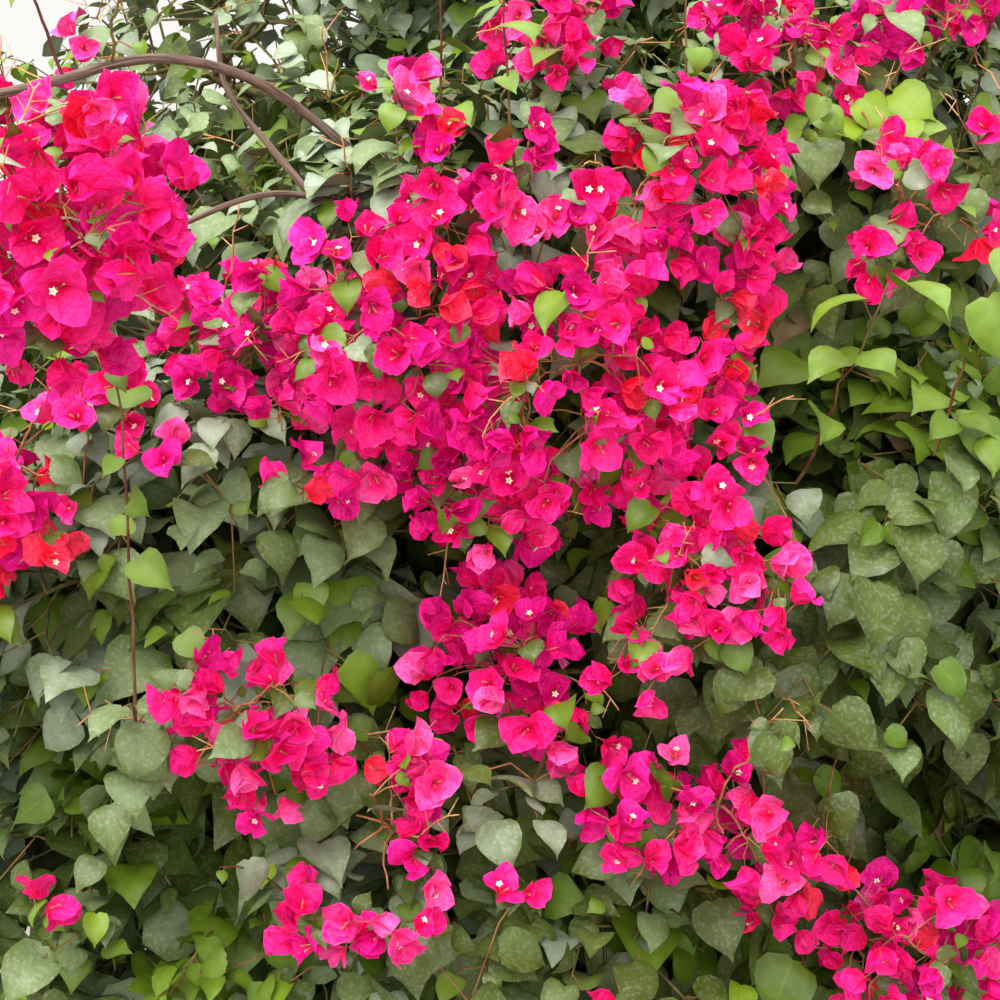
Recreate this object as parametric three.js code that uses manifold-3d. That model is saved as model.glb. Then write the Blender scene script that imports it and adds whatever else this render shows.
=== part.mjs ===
// A free-growing bougainvillea bush: a short woody stem with a flared foot, three whorls of boughs and a
// leader, open and dense masses of heart-shaped leaves on them, and sprays of three-bract blossom that
// stand out of the leaves. Millimetres, +Z up, the flat cut under the stem at the origin, front towards -Y.
import * as THREE from "three";
import { mergeVertices } from "three/addons/utils/BufferGeometryUtils.js";
import Module from "manifold-3d";

const wasm = await Module();
wasm.setup();

const GAP = 0.35; // between pieces that meet
const UP = new THREE.Vector3(0, 0, 1);
const GOLDEN_ANGLE = Math.PI * (3 - Math.sqrt(5));

const BARK = new THREE.MeshStandardMaterial({ color: 0x6e5a48, roughness: 0.9, metalness: 0 });
const LEAF = new THREE.MeshStandardMaterial({ color: 0x62794c, roughness: 0.6, metalness: 0 });
const BRACT = new THREE.MeshStandardMaterial({ color: 0xd9136a, roughness: 0.65, metalness: 0 });

const STEM = {
  height: 400,
  topRadius: 40,
  footRadius: 56,
  flare: 34, // how far the root flare adds to the foot
  flareDepth: 0.13, // share of the height over which the flare dies away
  lobes: 5, // root buttresses round the foot
  lobeDepth: 0.3, // share of the flare that comes and goes between them
  lean: new THREE.Vector3(26, -18, 0), // of the top, from the foot
  uprightTo: 0.2, // share of the height below which the stem doesn't lean
  bendAt: 0.6, // share of the height of the curve's middle point
  steps: 7,
  sides: 15,
};

// Each whorl of boughs leaves the stem at one height and carries one tier of foliage.
const SQUARENESS = 0.6; // 1 makes each tier an ellipse, less makes it a rounded box
const TIERS = [
  { name: "low", firstTurn: -90, leaves: 0.34, height: 500, across: 425, deep: 295, radius: 410, slope: 0 },
  { name: "middle", firstTurn: -126, leaves: 0.58, height: 860, across: 440, deep: 305, radius: 410, slope: 0 },
  { name: "high", firstTurn: -90, leaves: 0.82, height: 1200, across: 415, deep: 275, radius: 375, slope: 0.16 },
];
const MASSES_PER_TIER = 5;
const SIDES = ["right", "back_right", "back", "back_left", "left", "front_left", "front", "front_right"];
const OPEN_MASSES = ["high_left", "top_left"]; // airy ones that the light shows through
const BOUGH = {
  shape: { rootRadius: 20, tipRadius: 9, steps: 4, sides: 6 },
  arch: 0.12, // of its length, outward
  stopsShort: 0.5, // of its mass's radius, before the centre
};

// The top masses, on one leader.
const TOP = {
  radius: 290,
  leaderTip: new THREE.Vector3(40, 10, 1350),
  leaderBow: new THREE.Vector3(22, 30, 0),
  places: {
    left: new THREE.Vector3(-330, 20, 1500),
    centre: new THREE.Vector3(40, 20, 1600),
    right: new THREE.Vector3(420, 0, 1600),
  },
};

// A bare cane that rises out of the top front, arches over to the left and reaches forward.
const CANE_RISE = {
  shape: { rootRadius: 9, tipRadius: 7, steps: 9, sides: 5 },
  points: [
    new THREE.Vector3(-70, -340, 1215),
    new THREE.Vector3(-100, -430, 1325),
    new THREE.Vector3(-165, -480, 1385),
    new THREE.Vector3(-255, -540, 1447),
    new THREE.Vector3(-345, -600, 1462),
    new THREE.Vector3(-450, -680, 1425),
  ],
};
const CANE_REACH = {
  shape: { rootRadius: 7, tipRadius: 5, steps: 6, sides: 5 },
  points: [
    CANE_RISE.points[CANE_RISE.points.length - 1],
    new THREE.Vector3(-535, -745, 1395),
    new THREE.Vector3(-555, -840, 1365),
    new THREE.Vector3(-480, -900, 1325),
  ],
};

// Blossom on the front: how far across, how high, and the radius of each spray.
const FRONT_SPRAYS = {
  centre_crown: { across: 155, height: 1344, radius: 132 },
  centre_left: { across: -117, height: 1179, radius: 130 },
  centre_heart: { across: 76, height: 1149, radius: 155 },
  centre_right: { across: 237, height: 1116, radius: 118 },
  centre_low_left: { across: -36, height: 1013, radius: 118 },
  centre_low_right: { across: 184, height: 970, radius: 126 },
  under_centre: { across: 27, height: 828, radius: 132 },
  left_low: { across: -262, height: 807, radius: 114 },
  left_foot: { across: -108, height: 676, radius: 116 },
  right_low: { across: 222, height: 706, radius: 122 },
  right_foot: { across: 418, height: 530, radius: 136 },
  left_middle: { across: -285, height: 1205, radius: 120 },
  left_edge: { across: -499, height: 1044, radius: 112 },
  top_centre: { across: 43, height: 1487, radius: 118 },
  top_right: { across: 324, height: 1495, radius: 122 },
  top_corner: { across: 501, height: 1525, radius: 118 },
  right_high: { across: 424, height: 1317, radius: 112 },
};
const NEAR_SPRAY = { centre: new THREE.Vector3(-360, -965, 1275), radius: 145 };
// Blossom on the sides and the back: a loop of sprays at changing heights.
const ROUND_SPRAYS = { count: 5, from: -12, to: 195, low: 640, rise: 210, radius: 145 };
const SPRAY_INSET = 0.08; // of its radius, from the foliage's surface inwards to the spray's centre
const REACH_STEP = 0.025; // of a radius, in the search for where a space or the foliage ends

const GROWTH = {
  margin: 2, // kept clear at the edge of each mass's own space
  free: 0.7, // share of the radius that a twig must be able to reach
  tipShare: 0.5, // of a twig's radius, at its tip
  stemTip: 0.7, // of a mass stem's radius, at its tip
  stemBow: 0.08, // of its length, upwards
  stemPast: 0.2, // of the mass's radius, past its centre
  firstRoot: 0.3, // share of that last stretch after which twigs begin
  // A leaf's or bract's length and stalk are shares of the mass's radius, and tries are of a twig's reach.
  foliage: {
    stem: { radius: 9, steps: 3, sides: 5 },
    twig: { count: 16, radius: 5, tries: [0.8, 0.7, 0.6, 0.5] },
    leaf: { each: 2, length: 0.4, stalk: 0.06 },
  },
  open: {
    stem: { radius: 8, steps: 3, sides: 5 },
    twig: { count: 16, radius: 4.5, tries: [0.85, 0.7, 0.55] },
    leaf: { each: 2, length: 0.42, stalk: 0.06 },
  },
  blossom: {
    stem: { radius: 5.5, steps: 2, sides: 3 },
    twig: { count: 11, radius: 3, tries: [0.7, 0.6, 0.5, 0.4] },
    leaf: { length: 0.5 },
  },
};
const CORE = { radius: 0.47, outward: 0.08, lumps: 0.2, rooted: 0.8 }; // shares of radius, and of the core
// Shares of a blade's length.
const LEAF_SHAPE = { width: 0.76, widest: 0.36, fold: 0.1, droop: 0.12, thickness: 0.03 };
const BRACT_SHAPE = { width: 0.84, widest: 0.5, thickness: 0.08 };
// A leaf's way: so much of its twig's own way, to one side, and down or up.
const LEAF_WAY = { onward: 0.55, side: 0.9, tipSide: 0.22, stray: 0.7, tipDroop: 0.35, faceUp: 0.9 };
const SIDE_LEAF = { back: 0.4, twig: 0.6 }; // how far back from the twig's end, and its stalk beside the twig
const HEAD_WAY = { onward: 0.8, spread: 1 }; // the spread is each bract's angle from the axis, in radians
const VARIATION = { leaf: 0.3, bract: 0.24, spread: 0.3 }; // from the smallest to the largest, round 1

// A stream of numbers from 0 to 1 that is the same on every run.
function seededStream(seed) {
  let state = (seed * 7919 + 12345) % 4294967296;
  const draw = () => {
    state = (state * 1664525 + 1013904223) % 4294967296;
    return state / 4294967296;
  };
  for (let i = 0; i < 4; i++) draw();
  return draw;
}

function varied(draw, variation) {
  return 1 + variation * (draw() - 0.5);
}

function solidOf(geometry) {
  const bare = new THREE.BufferGeometry();
  bare.setAttribute("position", geometry.getAttribute("position"));
  bare.setIndex(geometry.index);
  const merged = mergeVertices(bare, 1e-4);
  return new wasm.Manifold(
    new wasm.Mesh({
      numProp: 3,
      vertProperties: merged.attributes.position.array,
      triVerts: new Uint32Array(merged.index.array),
    }),
  );
}

function geometryOf(solid) {
  const mesh = solid.getMesh();
  return new THREE.BufferGeometry()
    .setAttribute("position", new THREE.BufferAttribute(new Float32Array(mesh.vertProperties), 3))
    .setIndex(new THREE.BufferAttribute(new Uint32Array(mesh.triVerts), 1));
}

// The largest piece of a solid: loose scraps are dropped and sealed hollows are filled.
function largestPart(solid) {
  const pieces = solid.decompose();
  return pieces.reduce((best, piece) => (piece.volume() > best.volume() ? piece : best));
}

// A closed tube along a curve. radiusAt takes the share of the length and the angle round it.
function taperedLimb(curve, radiusAt, steps, sides, levelFoot = false) {
  const frames = curve.computeFrenetFrames(steps, false);
  const positions = [];
  const triangles = [];
  for (let i = 0; i <= steps; i++) {
    const centre = curve.getPointAt(i / steps);
    for (let s = 0; s < sides; s++) {
      const angle = (s / sides) * 2 * Math.PI;
      const spoke = frames.normals[i].clone().multiplyScalar(Math.cos(angle));
      spoke.addScaledVector(frames.binormals[i], Math.sin(angle));
      const point = centre.clone().addScaledVector(spoke, radiusAt(i / steps, angle));
      if (levelFoot && i === 0) point.z = 0;
      positions.push(point.x, point.y, point.z);
    }
  }
  for (let i = 0; i < steps; i++) {
    for (let s = 0; s < sides; s++) {
      const next = (s + 1) % sides;
      const [a, b] = [i * sides + s, i * sides + next];
      const [d, c] = [a + sides, b + sides];
      triangles.push(a, b, c, a, c, d);
    }
  }
  const last = steps * sides;
  for (let s = 1; s < sides - 1; s++) {
    triangles.push(0, s + 1, s);
    triangles.push(last, last + s, last + s + 1);
  }
  return new THREE.BufferGeometry()
    .setAttribute("position", new THREE.Float32BufferAttribute(positions, 3))
    .setIndex(triangles);
}

// A limb through the given points, as it is and grown by the gap that others leave round it.
function limbThrough(points, { rootRadius, tipRadius, steps, sides }) {
  const curve = new THREE.CatmullRomCurve3(points);
  const solidWith = (extra) => {
    const radiusAt = (share) => THREE.MathUtils.lerp(rootRadius, tipRadius, share) + extra;
    return solidOf(taperedLimb(curve, radiusAt, steps, sides));
  };
  return { solid: solidWith(0), grown: solidWith(GAP), tip: points[points.length - 1] };
}

function closedGeometry(points, triangles) {
  return new THREE.BufferGeometry()
    .setAttribute("position", new THREE.Float32BufferAttribute(points.flatMap((point) => point.toArray()), 3))
    .setIndex(triangles.flat());
}

// A three-sided twig that runs into a leaf: keeled below, folded up along its midrib, drooping at its tip.
function leafySprig(root, neck, along, face, length, rootRadius) {
  const forward = along.clone().normalize();
  const side = forward.clone().cross(face).normalize();
  const normal = side.clone().cross(forward);
  const place = (from, s, f, n) =>
    from.clone().addScaledVector(side, s).addScaledVector(forward, f).addScaledVector(normal, n);
  const ring = (from, radius) => [
    place(from, -radius, 0, radius / 2),
    place(from, radius, 0, radius / 2),
    place(from, 0, 0, -radius),
  ];
  const half = (length * LEAF_SHAPE.width) / 2;
  const shoulder = length * LEAF_SHAPE.widest;
  const points = [
    ...ring(root, rootRadius),
    ...ring(neck, rootRadius * GROWTH.tipShare),
    place(neck, -half, shoulder, length * LEAF_SHAPE.fold),
    place(neck, half, shoulder, length * LEAF_SHAPE.fold),
    place(neck, 0, shoulder, -length * LEAF_SHAPE.thickness),
    place(neck, 0, length, -length * LEAF_SHAPE.droop),
  ];
  const triangles = [[0, 2, 1]];
  for (const [a, b] of [[0, 1], [1, 2], [2, 0]]) {
    for (const low of [0, 3]) triangles.push([low + a, low + b, low + b + 3], [low + a, low + b + 3, low + a + 3]);
    triangles.push([6 + a, 6 + b, 9]);
  }
  return closedGeometry(points, triangles);
}

// A three-sided twig that opens into a head of three bracts round its end.
function floweringSprig(root, neck, axis, first, spread, length, rootRadius) {
  const away = axis.clone().normalize();
  const side = away.clone().cross(UP).normalize();
  const other = away.clone().cross(side);
  const around = (angle) => side.clone().multiplyScalar(Math.cos(angle)).addScaledVector(other, Math.sin(angle));
  const corner = (from, radius, i) => from.clone().addScaledVector(around(first + (i * 2 * Math.PI) / 3), radius);
  const tipRadius = rootRadius * GROWTH.tipShare;
  const points = [0, 1, 2].map((i) => corner(root, rootRadius, i));
  points.push(...[0, 1, 2].map((i) => corner(neck, tipRadius, i)));
  const throat = points.push(neck.clone().addScaledVector(away, length * BRACT_SHAPE.thickness)) - 1;
  const triangles = [[0, 2, 1]];
  for (let i = 0; i < 3; i++) {
    const next = (i + 1) % 3;
    triangles.push([i, next, next + 3], [i, next + 3, i + 3]);
    const middle = first + ((i + 0.5) * 2 * Math.PI) / 3;
    const radial = around(middle);
    const lateral = around(middle + Math.PI / 2);
    const along = away.clone().multiplyScalar(Math.cos(spread)).addScaledVector(radial, Math.sin(spread));
    const shoulder = neck.clone().addScaledVector(along, length * BRACT_SHAPE.widest);
    const half = (length * BRACT_SHAPE.width) / 2;
    const near = points.push(shoulder.clone().addScaledVector(lateral, -half)) - 1;
    const far = points.push(shoulder.clone().addScaledVector(lateral, half)) - 1;
    const tip = points.push(neck.clone().addScaledVector(along, length)) - 1;
    triangles.push([throat, i + 3, near], [throat, near, tip], [throat, tip, far], [throat, far, next + 3]);
    triangles.push([i + 3, tip, near], [i + 3, next + 3, tip], [next + 3, far, tip]);
  }
  return closedGeometry(points, triangles);
}

function pointsOf(geometry) {
  const position = geometry.getAttribute("position");
  return Array.from({ length: position.count }, (_, i) => new THREE.Vector3().fromBufferAttribute(position, i));
}

// Whether a point lies in a mass's own space: its ball, on its own side of the plane where two balls cross.
function inOwnSpace(mass, point, margin) {
  if (point.distanceTo(mass.centre) > mass.radius - margin) return false;
  const own = point.distanceToSquared(mass.centre) - mass.radius ** 2;
  return mass.neighbours.every((other) => {
    const theirs = point.distanceToSquared(other.centre) - other.radius ** 2;
    return (own - theirs) / (2 * mass.centre.distanceTo(other.centre)) < -margin;
  });
}

// How far a straight line from the centre stays in the mass's own space.
function reachAlong(mass, direction) {
  const step = mass.radius * REACH_STEP;
  let reach = 0;
  while (inOwnSpace(mass, mass.centre.clone().addScaledVector(direction, reach + step), GROWTH.margin)) {
    reach += step;
  }
  return reach;
}

// The front of the foliage at a place across and up: the nearest surface of the leaf balls.
function frontOfFoliage(foliage, across, height) {
  const fronts = foliage.map(({ centre, radius }) => {
    const left = radius ** 2 - (across - centre.x) ** 2 - (height - centre.z) ** 2;
    return left > 0 ? centre.y - Math.sqrt(left) : Infinity;
  });
  return Math.min(...fronts);
}

// The foliage tiers, their boughs and the masses that the boughs carry.
function planFoliage() {
  const masses = [];
  const boughs = [];
  const boxed = (value) => Math.sign(value) * Math.abs(value) ** SQUARENESS;
  for (const tier of TIERS) {
    for (let i = 0; i < MASSES_PER_TIER; i++) {
      const degrees = tier.firstTurn + (360 / MASSES_PER_TIER) * i;
      const turn = THREE.MathUtils.degToRad(degrees);
      const across = tier.across * boxed(Math.cos(turn));
      const height = tier.height + across * tier.slope;
      const centre = new THREE.Vector3(across, tier.deep * boxed(Math.sin(turn)), height);
      const place = `${tier.name}_${SIDES[(Math.round(degrees / 45) + SIDES.length) % SIDES.length]}`;
      const start = STEM.lean.clone().multiplyScalar(tier.leaves).setZ(STEM.height * tier.leaves);
      const way = centre.clone().sub(start);
      const length = way.length() - tier.radius * BOUGH.stopsShort;
      const tip = start.clone().addScaledVector(way.normalize(), length);
      const bend = start.clone().lerp(tip, 0.5);
      const outward = new THREE.Vector3(way.x, way.y, 0).normalize();
      bend.addScaledVector(outward, length * BOUGH.arch);
      const kind = OPEN_MASSES.includes(place) ? "open" : "foliage";
      boughs.push({ name: `bough_${place}`, points: [start, bend, tip] });
      masses.push({ name: `foliage_${place}`, kind, centre, radius: tier.radius, bough: `bough_${place}` });
    }
  }
  const leaderFoot = STEM.lean.clone().setZ(STEM.height - STEM.topRadius);
  const leaderBend = leaderFoot.clone().lerp(TOP.leaderTip, 0.5).add(TOP.leaderBow);
  boughs.push({ name: "bough_leader", points: [leaderFoot, leaderBend, TOP.leaderTip] });
  for (const [side, centre] of Object.entries(TOP.places)) {
    const kind = OPEN_MASSES.includes(`top_${side}`) ? "open" : "foliage";
    masses.push({ name: `foliage_top_${side}`, kind, centre, radius: TOP.radius, bough: "bough_leader" });
  }
  return { masses, boughs };
}

// The sprays of blossom, set in the foliage's surface, each on the nearest foliage mass's bough.
function planBlossom(foliage) {
  const sprays = [];
  const addSpray = (place, centre, radius, bough) => {
    const nearest = foliage.reduce((best, mass) =>
      mass.centre.distanceTo(centre) < best.centre.distanceTo(centre) ? mass : best,
    );
    sprays.push({ name: `blossom_${place}`, kind: "blossom", centre, radius, bough: bough ?? nearest.bough });
  };
  for (const [place, { across, height, radius }] of Object.entries(FRONT_SPRAYS)) {
    const depth = frontOfFoliage(foliage, across, height) + radius * SPRAY_INSET;
    addSpray(place, new THREE.Vector3(across, depth, height), radius);
  }
  for (let i = 0; i < ROUND_SPRAYS.count; i++) {
    const share = i / (ROUND_SPRAYS.count - 1);
    const turn = THREE.MathUtils.degToRad(THREE.MathUtils.lerp(ROUND_SPRAYS.from, ROUND_SPRAYS.to, share));
    const outward = new THREE.Vector3(Math.cos(turn), Math.sin(turn), 0);
    const level = (i * 2) % ROUND_SPRAYS.count; // one low, one high, turn about
    const centre = new THREE.Vector3(0, 0, ROUND_SPRAYS.low + ROUND_SPRAYS.rise * level);
    const step = ROUND_SPRAYS.radius * REACH_STEP;
    while (foliage.some((mass) => mass.centre.distanceTo(centre) < mass.radius)) {
      centre.addScaledVector(outward, step);
    }
    centre.addScaledVector(outward, -SPRAY_INSET * ROUND_SPRAYS.radius);
    addSpray(`round_${i + 1}`, centre, ROUND_SPRAYS.radius);
  }
  addSpray("near_left", NEAR_SPRAY.centre, NEAR_SPRAY.radius, "cane_reach");
  return sprays;
}

function planBush() {
  const { masses: foliage, boughs } = planFoliage();
  const masses = [...foliage, ...planBlossom(foliage)];
  masses.forEach((mass, index) => {
    mass.seed = index + 1;
    mass.neighbours = masses.filter(
      (other) => other !== mass && other.centre.distanceTo(mass.centre) < other.radius + mass.radius,
    );
  });
  return { masses, boughs };
}

// The stem, as it is and grown by the gap that the boughs leave round it.
function mainStem() {
  const top = STEM.lean.clone().setZ(STEM.height);
  const curve = new THREE.CatmullRomCurve3([
    new THREE.Vector3(0, 0, 0),
    new THREE.Vector3(0, 0, STEM.height * STEM.uprightTo),
    top.clone().multiplyScalar(STEM.bendAt),
    top,
  ]);
  const solidWith = (extra) => {
    const radiusAt = (share, angle) => {
      const buttress = 1 - STEM.lobeDepth + STEM.lobeDepth * Math.cos(STEM.lobes * angle);
      const flare = STEM.flare * buttress * Math.exp(-share / STEM.flareDepth);
      return THREE.MathUtils.lerp(STEM.footRadius, STEM.topRadius, share) + flare + extra;
    };
    return solidOf(taperedLimb(curve, radiusAt, STEM.steps, STEM.sides, true));
  };
  return { solid: solidWith(0), grown: solidWith(GAP) };
}

// Every limb, each cut clear of those before it.
function buildLimbs(boughs) {
  const limbs = { main_stem: mainStem() };
  const addLimb = (name, { solid, grown, tip }) => {
    const cut = Object.values(limbs).reduce((left, limb) => left.subtract(limb.grown), solid);
    limbs[name] = { solid: largestPart(cut), grown, tip };
  };
  for (const { name, points } of boughs) addLimb(name, limbThrough(points, BOUGH.shape));
  addLimb("cane_rise", limbThrough(CANE_RISE.points, CANE_RISE.shape));
  addLimb("cane_reach", limbThrough(CANE_REACH.points, CANE_REACH.shape));
  return limbs;
}

// Each mass's own stem, from its bough's tip to just past its centre, cut clear of the limbs and of earlier stems.
function buildMassStems(masses, limbs) {
  const earlier = Object.values(limbs).map((limb) => limb.grown);
  for (const mass of masses) {
    const { radius, steps, sides } = GROWTH[mass.kind].stem;
    const tip = limbs[mass.bough].tip;
    const way = mass.centre.clone().sub(tip);
    const bend = tip.clone().lerp(mass.centre, 0.5);
    bend.z += way.length() * GROWTH.stemBow;
    mass.head = mass.centre.clone().addScaledVector(way.normalize(), mass.radius * GROWTH.stemPast);
    const shape = { rootRadius: radius, tipRadius: radius * GROWTH.stemTip, steps, sides };
    const { solid, grown } = limbThrough([tip, bend, mass.centre, mass.head], shape);
    mass.stemSolid = largestPart(earlier.reduce((left, other) => left.subtract(other), solid));
    mass.grownStem = grown;
    earlier.push(grown);
  }
}

// The level direction in which a mass's core is pushed, away from the middle of the bush.
function coreShift(mass) {
  return new THREE.Vector3(mass.centre.x, mass.centre.y, 0).normalize();
}

// The ways that a mass's twigs take: evenly round its centre, where its own space reaches far enough.
function twigWays(mass, draw) {
  const { count } = GROWTH[mass.kind].twig;
  const ways = [];
  for (let i = 0; i < count; i++) {
    const rise = 1 - (2 * (i + 0.5)) / count;
    const turn = i * GOLDEN_ANGLE + mass.seed;
    const flat = Math.sqrt(1 - rise * rise);
    const direction = new THREE.Vector3(flat * Math.cos(turn), flat * Math.sin(turn), rise);
    const rootShare = GROWTH.firstRoot + (1 - GROWTH.firstRoot) * draw();
    const reach = reachAlong(mass, direction);
    if (reach < GROWTH.free * mass.radius) continue;
    const root = mass.centre.clone().lerp(mass.head, rootShare);
    if (mass.kind === "foliage") {
      const start = mass.radius * CORE.radius * CORE.rooted;
      root.copy(mass.centre).addScaledVector(coreShift(mass), mass.radius * CORE.outward);
      root.addScaledVector(direction, start);
    }
    ways.push({ root, direction, reach });
  }
  return ways;
}

// A twig's leafy sprigs: the twig with its tip leaf, and side leaves on stalks along it, hanging outward.
function leavesOf(way, end, { twig, leaf }, radius, draw) {
  const across = way.direction.clone().cross(UP).normalize();
  const face = way.direction.clone().addScaledVector(UP, LEAF_WAY.faceUp);
  const sprigs = [];
  for (let i = 0; i < leaf.each; i++) {
    const atTip = i === 0;
    const length = leaf.length * radius * varied(draw, VARIATION.leaf);
    const swing = (draw() - 0.5) * LEAF_WAY.stray + (i % 2 ? 1 : -1) * (atTip ? LEAF_WAY.tipSide : LEAF_WAY.side);
    const along = way.direction.clone().multiplyScalar(LEAF_WAY.onward).addScaledVector(across, swing);
    along.addScaledVector(UP, atTip ? -LEAF_WAY.tipDroop : 0.5 - draw()).normalize();
    const root = atTip ? way.root : end.clone().lerp(way.root, i * SIDE_LEAF.back);
    const neck = atTip ? end : root.clone().addScaledVector(along, leaf.stalk * radius);
    sprigs.push(leafySprig(root, neck, along, face, length, twig.radius * (atTip ? 1 : SIDE_LEAF.twig)));
  }
  return sprigs;
}

// A twig's one flowering sprig, with its head turned half outward.
function headOf(way, end, { twig, leaf }, radius, draw) {
  const axis = end.clone().sub(way.root).normalize().addScaledVector(way.direction, HEAD_WAY.onward);
  const spread = HEAD_WAY.spread * varied(draw, VARIATION.spread);
  const first = draw() * 2 * Math.PI;
  const length = leaf.length * radius * varied(draw, VARIATION.bract);
  return [floweringSprig(way.root, end, axis, first, spread, length, twig.radius)];
}

// A lumpy core that the leaves stand out of, pushed outward and kept to the mass's own space.
function coreOf(mass, draw) {
  const ball = new THREE.IcosahedronGeometry(1, 1);
  ball.deleteAttribute("normal");
  ball.deleteAttribute("uv");
  const merged = mergeVertices(ball, 1e-4);
  const position = merged.getAttribute("position");
  for (let i = 0; i < position.count; i++) {
    const lump = CORE.radius * (1 - CORE.lumps / 2 + CORE.lumps * draw());
    const place = new THREE.Vector3().fromBufferAttribute(position, i).multiplyScalar(lump * mass.radius);
    place.addScaledVector(coreShift(mass), CORE.outward * mass.radius);
    const size = place.length();
    const direction = place.normalize();
    const point = mass.centre.clone().addScaledVector(direction, Math.min(size, reachAlong(mass, direction)));
    position.setXYZ(i, point.x, point.y, point.z);
  }
  return solidOf(merged);
}

// A mass: its stem, its core if it has one, and the sprigs that fit its own space and miss the obstacles.
function growMass(mass, obstacles) {
  const rule = GROWTH[mass.kind];
  const draw = seededStream(mass.seed);
  const fits = (geometry) =>
    pointsOf(geometry).every((point) => inOwnSpace(mass, point, GROWTH.margin)) &&
    solidOf(geometry).intersect(obstacles).isEmpty();
  let solid = mass.stemSolid;
  if (mass.kind === "foliage") solid = solid.add(coreOf(mass, draw).subtract(obstacles));
  for (const way of twigWays(mass, draw)) {
    const seed = Math.floor(draw() * 1e6);
    const dress = mass.kind === "blossom" ? headOf : leavesOf;
    let kept = [];
    for (const share of rule.twig.tries) {
      const end = mass.centre.clone().addScaledVector(way.direction, way.reach * share);
      const [twig, ...sides] = dress(way, end, rule, mass.radius, seededStream(seed));
      const fitting = fits(twig) ? [twig, ...sides.filter(fits)] : [];
      if (fitting.length > kept.length) kept = fitting;
    }
    for (const sprig of kept) solid = solid.add(solidOf(sprig));
  }
  return largestPart(solid);
}

const { masses, boughs } = planBush();
const limbs = buildLimbs(boughs);
buildMassStems(masses, limbs);

const bush = new THREE.Group();
function addPiece(name, solid, material) {
  const mesh = new THREE.Mesh(geometryOf(solid), material);
  mesh.name = name;
  bush.add(mesh);
}
for (const [name, { solid }] of Object.entries(limbs)) addPiece(name, solid, BARK);
for (const mass of masses) {
  const others = masses.filter((other) => other !== mass).map((other) => other.grownStem);
  const obstacles = [...Object.values(limbs).map((limb) => limb.grown), ...others];
  const wall = obstacles.reduce((all, next) => all.add(next));
  addPiece(mass.name, growMass(mass, wall), mass.kind === "blossom" ? BRACT : LEAF);
}

export default bush;
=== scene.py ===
import math

import bpy
import numpy as np
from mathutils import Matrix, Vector
from mathutils.kdtree import KDTree


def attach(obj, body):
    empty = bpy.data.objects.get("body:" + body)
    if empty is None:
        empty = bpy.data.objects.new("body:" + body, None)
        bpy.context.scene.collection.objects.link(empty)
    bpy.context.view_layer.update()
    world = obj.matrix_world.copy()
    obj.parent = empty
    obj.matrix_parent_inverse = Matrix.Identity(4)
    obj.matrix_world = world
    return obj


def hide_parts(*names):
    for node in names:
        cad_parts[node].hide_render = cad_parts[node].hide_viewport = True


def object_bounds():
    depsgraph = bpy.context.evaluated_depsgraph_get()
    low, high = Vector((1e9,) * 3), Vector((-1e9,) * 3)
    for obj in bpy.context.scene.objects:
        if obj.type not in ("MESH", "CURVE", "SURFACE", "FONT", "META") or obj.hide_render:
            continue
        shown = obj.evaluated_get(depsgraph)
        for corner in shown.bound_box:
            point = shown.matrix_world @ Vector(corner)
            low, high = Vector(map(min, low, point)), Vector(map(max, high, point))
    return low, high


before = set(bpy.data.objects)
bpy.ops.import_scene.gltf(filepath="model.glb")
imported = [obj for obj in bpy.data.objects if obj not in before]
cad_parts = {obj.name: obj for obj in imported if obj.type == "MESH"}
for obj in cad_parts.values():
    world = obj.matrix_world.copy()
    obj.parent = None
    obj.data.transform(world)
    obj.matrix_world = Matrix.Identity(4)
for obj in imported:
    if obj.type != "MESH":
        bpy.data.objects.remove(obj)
cadLow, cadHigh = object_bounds()
body = "root"
nodes = sorted(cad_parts)
up = np.array([0.0, 0.0, 1.0])
goldenAngle = math.pi * (3 - math.sqrt(5))
fullTurn = 2 * math.pi
print("frame loaded:", len(nodes), "nodes")


# Small vector helpers, for one vector or for rows of them.
def unit(vectors):
    return vectors / np.maximum(np.linalg.norm(vectors, axis=-1, keepdims=True), 1e-9)


def squareTo(vectors, axis):
    # what is left of the vectors at right angles to the axis
    return unit(vectors - (vectors * axis).sum(-1, keepdims=True) * axis)


def mixed(low, high, share):
    return low * (1 - share) + high * share


def vector(x, y, z):
    return np.array([x, y, z], float)


def smoothStep(value, low, high):
    share = np.clip((value - low) / (high - low), 0, 1)
    return share * share * (3 - 2 * share)


# The plan of the bush, in metres: the same driving sizes and rules as its solids.
stem = {
    "height": 0.4,
    "topRadius": 0.04,
    "footRadius": 0.056,
    "flare": 0.034,
    "flareDepth": 0.13,
    "lobes": 5,
    "lobeDepth": 0.3,
    "lean": vector(0.026, -0.018, 0),
    "uprightTo": 0.2,
    "bendAt": 0.6,
}
squareness = 0.6
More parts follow.
